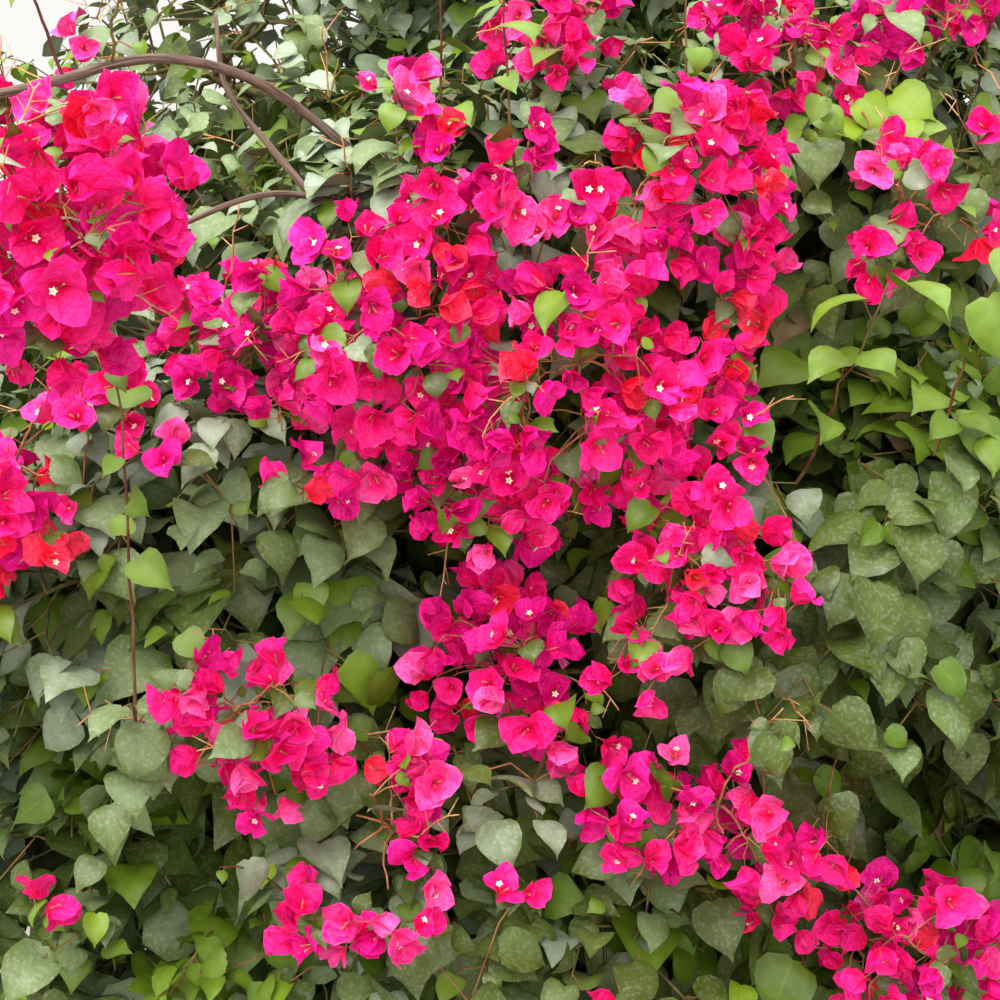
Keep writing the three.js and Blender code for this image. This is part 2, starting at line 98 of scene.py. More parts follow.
# Three whorls of masses. Their boughs leave the stem at a share of its height, and a slope lifts the masses
# on the right.
tiers = {
    "low": {
        "firstTurn": -90, "leaves": 0.34, "height": 0.5, "across": 0.425,
        "deep": 0.295, "radius": 0.41, "slope": 0,
    },
    "middle": {
        "firstTurn": -126, "leaves": 0.58, "height": 0.86, "across": 0.44,
        "deep": 0.305, "radius": 0.41, "slope": 0,
    },
    "high": {
        "firstTurn": -90, "leaves": 0.82, "height": 1.2, "across": 0.415,
        "deep": 0.275, "radius": 0.375, "slope": 0.16,
    },
}
massesPerTier = 5
sideNames = ["right", "back_right", "back", "back_left", "left", "front_left", "front", "front_right"]
openMasses = ["high_left", "top_left"]
bough = {"rootRadius": 0.02, "tipRadius": 0.009, "arch": 0.12, "stopsShort": 0.5}
top = {
    "radius": 0.29,
    "leaderTip": vector(0.04, 0.01, 1.35),
    "leaderBow": vector(0.022, 0.03, 0),
    "places": {
        "left": vector(-0.33, 0.02, 1.5),
        "centre": vector(0.04, 0.02, 1.6),
        "right": vector(0.42, 0, 1.6),
    },
}
cane = {
    "radii": (0.0058, 0.005, 0.004),
    "rise": [
        vector(-0.07, -0.34, 1.215),
        vector(-0.1, -0.43, 1.325),
        vector(-0.165, -0.48, 1.385),
        vector(-0.255, -0.54, 1.447),
        vector(-0.345, -0.6, 1.462),
        vector(-0.45, -0.68, 1.425),
    ],
    "reach": [vector(-0.535, -0.745, 1.395), vector(-0.555, -0.84, 1.365), vector(-0.48, -0.9, 1.325)],
    "sideRadii": (0.0044, 0.0022),
    "sides": [
        [
            vector(-0.09, -0.4, 1.29),
            vector(-0.13, -0.52, 1.312),
            vector(-0.235, -0.58, 1.328),
            vector(-0.33, -0.62, 1.29),
            vector(-0.43, -0.66, 1.235),
        ],
        [
            vector(-0.19, -0.556, 1.322),
            vector(-0.235, -0.545, 1.375),
            vector(-0.285, -0.53, 1.44),
            vector(-0.3, -0.5, 1.52),
        ],
    ],
}
# Each front spray: its place across and up and its radius, then in shares of that radius how far its heads
# spread and lean, and last how dense they are.
frontSprays = {
    "centre_crown": (0.155, 1.344, 0.132, 0.74, (0.3, -0.1), 1.1),
    "centre_left": (-0.117, 1.179, 0.13, 0.84, (0.1, 0.1), 1.05),
    "centre_heart": (0.076, 1.149, 0.155, 0.78, (-0.1, -0.08), 1.1),
    "centre_right": (0.237, 1.116, 0.118, 0.48, (-0.44, 0.14), 1.2),
    "centre_low_left": (-0.036, 1.013, 0.118, 0.68, (0.18, 0.26), 1.0),
    "centre_low_right": (0.184, 0.97, 0.126, 0.58, (0.12, 0.04), 1.05),
    "under_centre": (0.027, 0.828, 0.132, 0.66, (-0.24, 0.14), 1.05),
    "left_low": (-0.262, 0.807, 0.114, 0.58, (0.24, -0.22), 1.2),
    "left_foot": (-0.108, 0.676, 0.116, 0.42, (-0.06, 0.42), 0.6),
    "right_low": (0.222, 0.706, 0.122, 0.54, (0.0, -0.14), 1.0),
    "right_foot": (0.418, 0.53, 0.136, 0.62, (0.16, -0.02), 1.2),
    "left_middle": (-0.285, 1.205, 0.12, 0.68, (0.1, -0.3), 1.0),
    "left_edge": (-0.499, 1.044, 0.112, 0.74, (-0.2, -0.6), 1.05),
    "top_centre": (0.043, 1.487, 0.118, 0.5, (0.05, 0.25), 0.9),
    "top_right": (0.324, 1.495, 0.122, 0.64, (-0.14, 0.05), 0.8),
    "top_corner": (0.501, 1.525, 0.118, 0.74, (-0.25, 0.34), 0.85),
    "right_high": (0.424, 1.317, 0.112, 0.8, (0.0, -0.1), 0.12),
}
nearSpray = {
    "centre": vector(-0.36, -0.965, 1.275),
    "radius": 0.145,
    "hearts": [(0.1, 0, 0.14), (0.0, 0, 0.1), (-0.28, 0, -0.36)],
    "spread": 0.62,
    "dense": 2.1,
}
roundSprays = {
    "count": 5,
    "from": -12,
    "to": 195,
    "low": 0.64,
    "rise": 0.21,
    "radius": 0.145,
    "hearts": 5,
    "spread": 0.36,
    "dense": 2.6,
}
sprayInset = 0.08
stemRule = {"bow": 0.08, "past": 0.2, "firstRoot": 0.3}


def leafyMass(place, centre, radius, boughName):
    return {
        "place": place,
        "kind": "open" if place in openMasses else "foliage",
        "centre": centre,
        "radius": radius,
        "bough": boughName,
    }


def planFoliage():
    masses, boughs = [], {}
    for name, tier in tiers.items():
        for i in range(massesPerTier):
            degrees = tier["firstTurn"] + 360 / massesPerTier * i
            turn = math.radians(degrees)
            boxed = [math.copysign(abs(v) ** squareness, v) for v in (math.cos(turn), math.sin(turn))]
            across = tier["across"] * boxed[0]
            centre = vector(across, tier["deep"] * boxed[1], tier["height"] + across * tier["slope"])
            place = f"{name}_{sideNames[round(degrees / 45) % 8]}"
            start = stem["lean"] * tier["leaves"] + up * stem["height"] * tier["leaves"]
            way = centre - start
            length = np.linalg.norm(way) - tier["radius"] * bough["stopsShort"]
            tip = start + unit(way) * length
            bend = (start + tip) / 2 + unit(way * vector(1, 1, 0)) * length * bough["arch"]
            boughs[f"bough_{place}"] = [start, bend, tip]
            masses.append(leafyMass(place, centre, tier["radius"], f"bough_{place}"))
    foot = stem["lean"] + up * (stem["height"] - stem["topRadius"])
    boughs["bough_leader"] = [foot, (foot + top["leaderTip"]) / 2 + top["leaderBow"], top["leaderTip"]]
    for side, centre in top["places"].items():
        masses.append(leafyMass(f"top_{side}", centre, top["radius"], "bough_leader"))
    return masses, boughs


foliage, boughs = planFoliage()
foliageCentres = np.array([mass["centre"] for mass in foliage])
foliageRadii = np.array([mass["radius"] for mass in foliage])


def frontAt(across, height):
    # where the leaf balls begin, seen from the front
    aside = (foliageCentres[:, 0] - across) ** 2 + (foliageCentres[:, 2] - height) ** 2
    hit = aside < foliageRadii ** 2
    return (foliageCentres[hit, 1] - np.sqrt(foliageRadii[hit] ** 2 - aside[hit])).min()


def planBlossom():
    sprays = []
    draw = np.random.default_rng(5)

    def addSpray(place, centre, radius, hearts, spread, dense, boughName=None):
        nearest = min(foliage, key=lambda mass: np.linalg.norm(mass["centre"] - centre))
        sprays.append({
            "place": place,
            "kind": "blossom",
            "centre": centre,
            "radius": radius,
            "bough": boughName or nearest["bough"],
            "spread": spread,
            "hearts": [centre + np.array(heart) * radius for heart in hearts],
            "dense": dense,
        })

    for place, (across, height, radius, spread, lean, dense) in frontSprays.items():
        centre = vector(across, frontAt(across, height) + radius * sprayInset, height)
        addSpray(place, centre, radius, [(lean[0], 0, lean[1])], spread, dense)
    radius = roundSprays["radius"]
    for i in range(roundSprays["count"]):
        share = i / (roundSprays["count"] - 1)
        turn = math.radians(mixed(roundSprays["from"], roundSprays["to"], share))
        outward = vector(math.cos(turn), math.sin(turn), 0)
        centre = up * (roundSprays["low"] + roundSprays["rise"] * ((i * 2) % roundSprays["count"]))
        while any(np.linalg.norm(mass["centre"] - centre) < mass["radius"] for mass in foliage):
            centre = centre + outward * radius / 40
        centre = centre - outward * sprayInset * radius
        hearts = draw.normal(0, 0.42, (roundSprays["hearts"], 3))
        addSpray(f"round_{i + 1}", centre, radius, hearts, roundSprays["spread"], roundSprays["dense"])
    addSpray("near_left", boughName="cane_reach", **nearSpray)
    return sprays


masses = foliage + planBlossom()
for index, mass in enumerate(masses):
    mass["seed"] = index + 1
    mass["neighbours"] = [
        other for other in masses
        if other is not mass
        and np.linalg.norm(other["centre"] - mass["centre"]) < other["radius"] + mass["radius"]
    ]
roomLow = np.array(cadLow) - 0.014
roomHigh = np.array(cadHigh) + vector(0.014, 0.014, 0.044)
print("planned:", len(masses), "masses on", len(boughs), "boughs")


def lumps(points):
    # how far the leaves swell out of a ball or sink in, and hang lower at the foot
    x, y, z = np.moveaxis(points, -1, 0)
    swell = np.sin(23 * x + 1.3) * np.sin(19 * y + 0.4) + np.sin(27 * z + 2.1) * np.sin(21 * x - 17 * y)
    return 0.02 * swell + 0.05 * (1 - smoothStep(z, 0.12, 0.3))


def inOwnSpace(mass, points, slack):
    # within the mass's ball and, but for the slack, on its own side of each plane where two balls cross
    own = ((points - mass["centre"]) ** 2).sum(-1) - mass["radius"] ** 2
    inside = own < (0 if mass["kind"] == "blossom" else 2 * mass["radius"] * lumps(points))
    for other in mass["neighbours"]:
        apart = np.linalg.norm(mass["centre"] - other["centre"])
        theirs = ((points - other["centre"]) ** 2).sum(-1) - other["radius"] ** 2
        inside &= (own - theirs) / (2 * apart) < slack
    return inside


def inRoom(points):
    # no further out than the solids' box, and clear of the ground
    return (points > roomLow).all(-1) & (points < roomHigh).all(-1) & (points[..., 2] > 0.015)


def reachAlong(mass, directions, margin=0.002):
    # how far a straight line from the centre stays in the mass's own space
    reach = np.full(len(directions), mass["radius"] - margin)
    for other in mass["neighbours"]:
        offset = other["centre"] - mass["centre"]
        apart = np.linalg.norm(offset)
        towards = directions @ offset
        limit = mass["radius"] ** 2 + apart ** 2 - other["radius"] ** 2 - 2 * apart * margin
        crossing = np.where(towards > 1e-6, limit / np.maximum(2 * towards, 1e-6), np.inf)
        reach = np.minimum(reach, crossing)
    return np.maximum(reach, 0)


def buried(points):
    # how deep each point lies under the outer surface of the leaf balls, and the way out from there
    away = points[..., None, :] - foliageCentres
    under = foliageRadii - np.linalg.norm(away, axis=-1)
    nearest = under.argmax(-1)
    out = np.take_along_axis(away, nearest[..., None, None], -2)[..., 0, :]
    return np.take_along_axis(under, nearest[..., None], -1)[..., 0], unit(out)


def waysRound(mass, count):
    # the source's even spread of twig directions
    index = np.arange(count)
    rise = 1 - 2 * (index + 0.5) / count
    turn = index * goldenAngle + mass["seed"]
    flat = np.sqrt(1 - rise ** 2)
    return np.stack([flat * np.cos(turn), flat * np.sin(turn), rise], 1)


def besides(way, turn):
    # a direction at right angles to the way, turned round it
    helper = squareTo(up if abs(way[2]) < 0.95 else vector(1, 0, 0), way)
    return helper * math.cos(turn) + np.cross(way, helper) * math.sin(turn)


def circled(first, second, turns):
    # directions turned from the first towards the second
    return np.cos(turns)[..., None] * first + np.sin(turns)[..., None] * second


# Paths: rows of points, from root to tip.
def blended(rows, knots, span, at):
    # each row mixed with the next, by how far the place lies between their knots
    shares = [(at - knots[i]) / (knots[i + span] - knots[i]) for i in range(len(rows) - 1)]
    return [mixed(rows[i], rows[i + 1], share) for i, share in enumerate(shares)]


def curveThrough(points, count):
    # a smooth curve through the points, with evenly spaced samples
    ghosts = [2 * points[0] - points[1], *points, 2 * points[-1] - points[-2]]
    fine = []
    for four in zip(ghosts, ghosts[1:], ghosts[2:], ghosts[3:]):
        knots = np.cumsum([0] + [np.linalg.norm(q - p) ** 0.5 for p, q in zip(four, four[1:])])
        for at in np.linspace(knots[1], knots[2], 24, endpoint=False):
            second = blended(blended(four, knots, 1, at), knots, 2, at)
            fine.append(mixed(second[0], second[1], (at - knots[1]) / (knots[2] - knots[1])))
    fine = np.array(fine + [points[-1]])
    travelled = np.concatenate([[0], np.cumsum(np.linalg.norm(np.diff(fine, axis=0), axis=1))])
    return atShares(fine, np.linspace(0, 1, count), travelled / travelled[-1])


def atShares(path, shares, steps=None):
    if steps is None:
        steps = np.linspace(0, 1, len(path))
    return np.stack([np.interp(shares, steps, path[:, axis]) for axis in range(3)], -1)


def arched(start, end, lift, count):
    share = np.linspace(0, 1, count)[:, None]
    return start * (1 - share) + end * share + lift * 4 * share * (1 - share)


def kinked(path, amount, draw):
    # small bends at the joints of a shoot
    path[1:-1] += draw.normal(0, amount * np.linalg.norm(path[-1] - path[0]), (len(path) - 2, 3))
    return path


# What grows is gathered here first, and each kind becomes tubes with so many sides. A kind without radii at
# the root and the tip gets them as it grows.
tubeKinds = {
    "massStem": {"sides": 10},
    "twig": {"sides": 5},
    "sideTwig": {"sides": 3, "radii": (0.0025, 0.0011)},
    "spur": {"sides": 3, "radii": (0.0013, 0.0008)},
    "bareStalk": {"sides": 3, "radii": (0.0013, 0.0008)},
    "fork": {"sides": 3, "radii": (0.0008, 0.0005)},
    "sprayTwig": {"sides": 5, "radii": (0.0018, 0.001)},
    "stalk": {"sides": 3, "radii": (0.0011, 0.0008)},
    "pedicel": {"sides": 3, "radii": (0.0007, 0.0006)},
    "shoot": {"sides": 8, "radii": (0.0019, 0.0009)},
    "whip": {"sides": 4, "radii": (0.0014, 0.0007)},
}
tubes = {kind: {"paths": [], "radii": []} for kind in tubeKinds}
leafRows = []
headRows = []


def keepTube(kind, path, radii=None):
    rootRadius, tipRadius = radii or tubeKinds[kind]["radii"]
    tubes[kind]["paths"].append(path)
    tubes[kind]["radii"].append(np.linspace(rootRadius, tipRadius, len(path)))


# Leafy growth: twigs by the source's rule, side twigs on them, and short spurs on those.
leafy = {
    "foliage": {"twigRadii": (0.0045, 0.002025), "sideTwigs": 12, "spurs": 4, "leaf": 0.0475, "keep": 1.0},
    "open": {"twigRadii": (0.004, 0.0018), "sideTwigs": 8, "spurs": 2, "leaf": 0.035, "keep": 0.7},
}
twigShape = {
    "ways": 16,
    "free": 0.4,  # share of the radius that a twig needs
    "ends": (0.72, 0.92),  # of the reach
    "deepest": 0.25,  # how deep under the leaves a twig may end
    "arch": 0.09,
    "sway": 0.04,
    "points": 9,
    "kink": 0.012,
    "stemRadii": (0.009, 0.0055),
    "usualRadius": 0.41,  # of a mass whose side twigs have these lengths
    "sideLength": (0.11, 0.24),
    "spurLength": (0.04, 0.085),
    "leafSpacing": 0.025,
    "spurLeaves": 3,
    "slack": 0.03,
    "thin": 0.22,  # depth over which leaves get fewer
    "innerShare": 0.3,
    "innerSize": 0.7,  # how much larger the hidden leaves are, so that no light comes through
    "bareStalks": 0.42,  # share of the outer side twigs
    "strayHeads": 0.04,
}
leafHabit = {
    "turn": math.pi + 0.5,  # from one leaf to the next
    "turnScatter": 0.4,
    "stalk": (0.22, 0.38),  # in shares of the leaf
    "sizes": (0.5, 1.45),
    "scatter": 0.42,  # of the way a blade faces and points
    "youngFrom": 0.8,  # share of the shoot
    "youngSize": 0.6,
    "corners": ((0, 0), (1, 0), (0.4, 0.45), (0.4, -0.45)),
}
# How often each tone comes and how much painted light or shade the leaves get, with what each region adds.
toneShares = {
    "dusty": {"always": 0.46, "right": -0.28, "low": -0.2, "high": 0.06, "below": -0.18},
    "sage": {"always": 0.3, "right": 0.06, "below": -0.14},
    # the deep tone comes more often low down, inside and below on the right, partly as painted shade
    "deep": {"always": 0.1, "right": 0.12, "low": 0.22, "inner": 0.4, "below": 0.6},
    "fresh": {"always": 0.13, "beside": 0.14, "high": -0.07},
    "lime": {"always": 0.005, "inner": -0.005},
    "faded": {},
}
litShares = {"high": 0.24, "beside": 0.26, "low": -0.18, "below": -0.48}
leafTones = list(toneShares)


def regions(point):
    # how far a point lies to the right, low down, high up, and to the right below and beside the blossom
    high = float(smoothStep(point[2], 1.15, 1.4))
    farRight = float(smoothStep(point[0], 0.12, 0.32))
    upper = float(smoothStep(point[2], 1.0, 1.14))
    return {
        "always": 1.0,
        "right": float(smoothStep(point[0], -0.15, 0.3)),
        "low": 1 - float(smoothStep(point[2], 0.55, 1.0)),
        "high": high,
        "below": farRight * (1 - upper),
        "beside": farRight * upper * (1 - high),
    }


def summed(shares, here):
    return sum(share * here[region] for region, share in shares.items())


def toneWeights(point, depth):
    # greyer to the left and at the top, greener to the right, darker lower down and inside, partly as
    # painted shade
    here = regions(point)
    here["inner"] = float(smoothStep(depth, 0.03, 0.14))
    weights = np.array([max(summed(shares, here), 0.0) for shares in toneShares.values()])
    return weights / weights.sum()


def sizeAt(point):
    # larger leaves on the right and low down, smaller towards the top
    right = float(smoothStep(point[0], 0.1, 0.35)) * (1 - float(smoothStep(point[2], 1.0, 1.3)))
    high = float(smoothStep(point[2], 1.25, 1.6))
    hidden = float(smoothStep(point[1], -0.3, 0.0))
    return 1 + 0.18 * right - 0.2 * high + 0.14 * hidden


def growLeaves(mass, path, first, count, size, tone, draw, youngTip=0.2):
    # leaves turn about the shoot from its share `first` on, and hang on short stalks
    share = mixed(first, 1.0, (np.arange(count) + 0.5 * draw.random(count)) / max(count - 0.5, 1))
    share = np.clip(share, 0, 1)
    along = unit(path[-1] - path[0])
    places = atShares(path, share)
    turns = draw.random() * fullTurn + np.arange(count) * leafHabit["turn"]
    turns = turns + draw.normal(0, leafHabit["turnScatter"], count)
    helper = besides(along, 0)
    aside = circled(helper, np.cross(along, helper), turns)
    _, out = buried(places)
    lean = unit(aside + along * 0.5 + out * 0.5 + up * 0.2)
    length = size * np.clip(draw.lognormal(-0.03, 0.32, count), *leafHabit["sizes"])
    young = (share > leafHabit["youngFrom"]) & (draw.random(count) < youngTip * 2)
    length = np.where(young, length * leafHabit["youngSize"], length)
    bases = places + lean * (length * draw.uniform(*leafHabit["stalk"], count))[:, None]
    right = float(smoothStep(places[0][0], 0.0, 0.35))
    scatter = draw.normal(0, leafHabit["scatter"], (2, count, 3))
    face = unit(out * mixed(0.62, 0.85, right) + up * mixed(0.8, 0.4, right) + scatter[0])
    forward = squareTo(-up * mixed(0.7, 1.0, right) + lean * 0.65 + scatter[1], face)
    side = np.cross(forward, face)
    depth, _ = buried(bases)
    fewer = np.maximum(1.15 - np.maximum(depth, 0) / twigShape["thin"], twigShape["innerShare"])
    kept = draw.random(count) < fewer
    if mass is not None:
        kept &= inOwnSpace(mass, bases, twigShape["slack"])
    for onward, sideways in leafHabit["corners"]:
        kept &= inRoom(bases + (forward * onward + side * sideways) * length[:, None])
    chance = draw.random(count)
    # painted light and shade: a leaf that faces up gets a paler, greyer painted sheen, each region adds
    # painted light or painted shade, and the rest is random
    regionPaintedLight = summed(litShares, regions(places[0]))
    lit = np.clip(0.5 + 0.5 * face[:, 2] + draw.normal(0, 0.22, count) + regionPaintedLight, 0, 1)
    for i in np.flatnonzero(kept):
        toneHere = tone
        if young[i]:
            toneHere = "lime" if chance[i] < 0.12 else "fresh"
        elif chance[i] > 0.993:
            toneHere = "faded"
        elif chance[i] > 0.84 and tone == "dusty":
            toneHere = "sage"
        fuller = 1 + twigShape["innerSize"] * float(smoothStep(depth[i], 0.09, 0.2))
        shape = bases[i], forward[i], face[i], length[i] * fuller
        leafRows.append((*shape, toneHere, depth[i], places[i], lit[i]))


def growBareStalk(start, way, length, draw):
    # what is left of an old flowering: a thin stalk that zigzags and forks
    way = unit(way)
    path = kinked(arched(start, start + way * length, up * 0.06 * length, 5), 0.03, draw)
    if not inRoom(path).all():
        return
    keepTube("bareStalk", path)
    turn = draw.random() * fullTurn
    for i in (1, 2, 3):
        forkWay = unit(way * 0.6 + besides(way, turn + i * 2.6))
        forkEnd = path[i] + forkWay * length * draw.uniform(0.2, 0.45)
        keepTube("fork", np.stack([path[i], forkEnd]))


def growSideShoot(mass, rule, start, way, length, isSpur, tone, draw):
    # a side twig with spurs, or a spur, as long as the mass's own space lets it be
    reachable = 0
    for share in (0.4, 0.7, 1):
        if inOwnSpace(mass, start + way * length * share, rule["slack"] * 0.5):
            reachable = length * share
    if not reachable:
        return
    end = start + way * reachable + up * (-0.05 if isSpur else -0.14) * reachable
    depth, out = buried(end[None])
    if depth[0] > rule["deepest"] or not inRoom(end):
        return
    lift = (up * 0.1 + draw.normal(0, 0.05, 3)) * reachable
    leafSize = rule["leaf"] * sizeAt(end)
    if isSpur:
        path = np.stack([start, end])
        if depth[0] < 0.11:
            keepTube("spur", path)
        growLeaves(mass, path, 0.45, rule["spurLeaves"], leafSize, tone, draw)
        return
    path = kinked(arched(start, end, lift, 4), 0.02, draw)
    keepTube("sideTwig", path)
    count = int(round(reachable / rule["leafSpacing"] * rule["keep"]))
    growLeaves(mass, path, 0.15, max(count, 2), leafSize, tone, draw)
    for i in range(rule["spurs"]):
        at = mixed(0.3, 0.95, (i + draw.random()) / rule["spurs"])
        spurWay = unit(way * 0.5 + besides(way, draw.random() * fullTurn))
        spurLength = draw.uniform(*rule["spurLength"])
        growSideShoot(mass, rule, atShares(path, at), spurWay, spurLength, True, tone, draw)
    if depth[0] < 0.05 and draw.random() < rule["bareStalks"]:
        stalkWay = out[0] * 0.9 + way * 0.6 + draw.normal(0, 0.45, 3)
        growBareStalk(atShares(path, 0.85), stalkWay, draw.uniform(0.06, 0.13), draw)
    elif depth[0] < 0.03 and draw.random() < rule["strayHeads"]:
        node = end + out[0] * standOff
        growHeads(None, node, unit(out[0] + way), 3, draw.choice(bractTones), draw, [])


def growMassStem(mass, tip, radii):
    # the stem that goes on from the bough into the mass, up to its head
    way = mass["centre"] - tip
    bend = (tip + mass["centre"]) / 2 + up * np.linalg.norm(way) * stemRule["bow"]
    head = mass["centre"] + unit(way) * mass["radius"] * stemRule["past"]
    keepTube("massStem", curveThrough([tip, bend, mass["centre"], head], 16), radii)
    return head


def twigsIn(mass, rule, head, draw):
    # the source's twigs, from the mass's stem outward
    directions = waysRound(mass, rule["ways"])
    for direction, reach in zip(directions, reachAlong(mass, directions)):
        end = mass["centre"] + direction * reach * draw.uniform(*rule["ends"])
        depth, _ = buried(end[None])
        if reach < rule["free"] * mass["radius"] or depth[0] > rule["deepest"]:
            continue
        share = stemRule["firstRoot"] + (1 - stemRule["firstRoot"]) * draw.random()
        root = mixed(mass["centre"], head, share)
        lift = (up * rule["arch"] + draw.normal(0, rule["sway"], 3)) * np.linalg.norm(end - root)
        yield direction, kinked(arched(root, end, lift, rule["points"]), rule["kink"], draw)


def growLeafyMass(mass, tip):
    rule = {**twigShape, **leafy[mass["kind"]]}
    draw = np.random.default_rng(mass["seed"])
    head = growMassStem(mass, tip, rule["stemRadii"])
    for direction, path in twigsIn(mass, rule, head, draw):
        keepTube("twig", path, rule["twigRadii"])
        for i in range(rule["sideTwigs"]):
            at = mixed(0.3, 1.0, (i + draw.random()) / rule["sideTwigs"])
            start = atShares(path, at)
            aside = besides(direction, i * goldenAngle + mass["seed"])
            sideWay = unit(aside + direction * draw.uniform(0.25, 0.8))
            sideLength = draw.uniform(*rule["sideLength"]) * mass["radius"] / rule["usualRadius"]
            sideLength *= mixed(1.15, 0.75, at)
            depth, _ = buried((start + sideWay * sideLength)[None])
            tone = draw.choice(leafTones, p=toneWeights(start, depth[0]))
            growSideShoot(mass, rule, start, sideWay, sideLength, False, tone, draw)


# Blossom: the source's flowering twigs, each with side stalks that end in small groups of heads.
blossom = {
    "ways": 11,
    "free": 0.35,
    "ends": (0.4, 0.66),
    "deepest": 0.0675,
    "arch": 0.08,
    "sway": 0.05,
    "points": 7,
    "kink": 0.03,
    "stemRadii": (0.0046, 0.0026),
    "heads": (2, 4),
    "bract": 0.0325,
    "apart": 0.0205,
    "slack": 0.02,
    "inner": 0.045,  # how deep under the leaves a head may sit
    "margin": 0.03,  # from a head to the edge of the room
    "perSpray": 112,
    "usualSpread": 0.125,
    "tries": 420,
    "leaves": 0.42,
    "leaf": 0.036,
    "leafTones": ["sage", "sage", "deep", "fresh", "fresh", "dusty"],
    "nearFrom": -0.84,  # how far forward the near spray begins
    "nearSize": 1.12,
}
# the pale tone stands partly for painted highlights, dealt to whole heads
bractTones = ["pink", "magenta", "coral", "pale"]
twigTones = [0.52, 0.26, 0.06, 0.16]  # how often a twig has heads of each tone
otherTones = [0.46, 0.22, 0.12, 0.2]  # and how often a head has one of its own
standOff = 0.012  # from the leaves to a group of heads that stands apart


def growHeads(mass, node, away, count, tone, draw, kept):
    # a small fork: heads on thin stalks round the node
    larger = blossom["nearSize"] if node[1] < blossom["nearFrom"] else 1.0
    for _ in range(count):
        way = unit(away * draw.uniform(0.2, 1.0) + besides(away, draw.random() * fullTurn) * 0.85)
        place = node + way * draw.uniform(0.01, 0.024)
        if len(kept) and np.linalg.norm(np.array(kept) - place, axis=1).min() < blossom["apart"]:
            continue
        if mass is not None and not inOwnSpace(mass, place, blossom["slack"]):
            continue
        depth, out = buried(place[None])
        if depth[0] > blossom["inner"] or not inRoom(place + out[0] * blossom["margin"]):
            continue
        kept.append(place)
        axis = unit(way * 0.7 + out[0] * 0.35 - up * 0.05 + draw.normal(0, 0.48, 3))
        keepTube("pedicel", np.stack([node, place]))
        toneHere = tone if draw.random() < 0.6 else draw.choice(bractTones, p=otherTones)
        size = blossom["bract"] * draw.uniform(0.8, 1.16) * larger
        headRows.append((place, axis, size, toneHere, draw.random(), draw.random() * fullTurn))


def growBlossomMass(mass, tip):
    draw = np.random.default_rng(mass["seed"])
    head = growMassStem(mass, tip, blossom["stemRadii"])
    twigs = []
    for direction, path in twigsIn(mass, blossom, head, draw):
        keepTube("sprayTwig", path)
        twigs.append((path, direction, draw.choice(bractTones, p=twigTones)))
    kept = []
    joints = np.array([path[1:] for path, *_ in twigs])
    farthest = mass["spread"] * mass["radius"]
    wanted = blossom["perSpray"] * mass["dense"] * (farthest / blossom["usualSpread"]) ** 2
    for i in range(blossom["tries"]):
        if len(kept) >= wanted:
            break
        # a side stalk from the nearest joint to a place in the spray's heart, more of them outward
        outward = unit(draw.normal(0, 1, 3))
        far = farthest * draw.uniform(0.1, 1.0) ** 0.4
        node = mass["hearts"][i % len(mass["hearts"])] + outward * far * vector(1, 1, 0.95)
        twig, joint = np.unravel_index(np.linalg.norm(joints - node, axis=2).argmin(), joints.shape[:2])
        start, tone = joints[twig, joint], twigs[twig][2]
        length = np.linalg.norm(node - start)
        sideWay = (node - start) / max(length, 1e-6)
        if not inOwnSpace(mass, node, blossom["slack"]):
            continue
        before = len(kept)
        count = draw.integers(*blossom["heads"], endpoint=True)
        growHeads(mass, node, sideWay, count, tone, draw, kept)
        if len(kept) > before:
            lift = (up * 0.06 + draw.normal(0, 0.06, 3)) * length
            stalk = kinked(arched(start, node, lift, 4), 0.025, draw)
            keepTube("stalk", stalk)
            if draw.random() < blossom["leaves"]:
                leafTone = draw.choice(blossom["leafTones"])
                growLeaves(mass, stalk, 0.4, 2, blossom["leaf"], leafTone, draw, 0.4)
    for path, direction, _ in twigs[::3]:
        growBareStalk(path[-1], direction + draw.normal(0, 0.4, 3), draw.uniform(0.04, 0.08), draw)


limbTips = {name: points[-1] for name, points in boughs.items()}
limbTips["cane_reach"] = cane["reach"][-1]
for mass in masses:
    if mass["kind"] == "blossom":
        growBlossomMass(mass, limbTips[mass["bough"]])
    else:
        growLeafyMass(mass, limbTips[mass["bough"]])
print("grown:", len(leafRows), "leaves,", len(headRows), "heads")

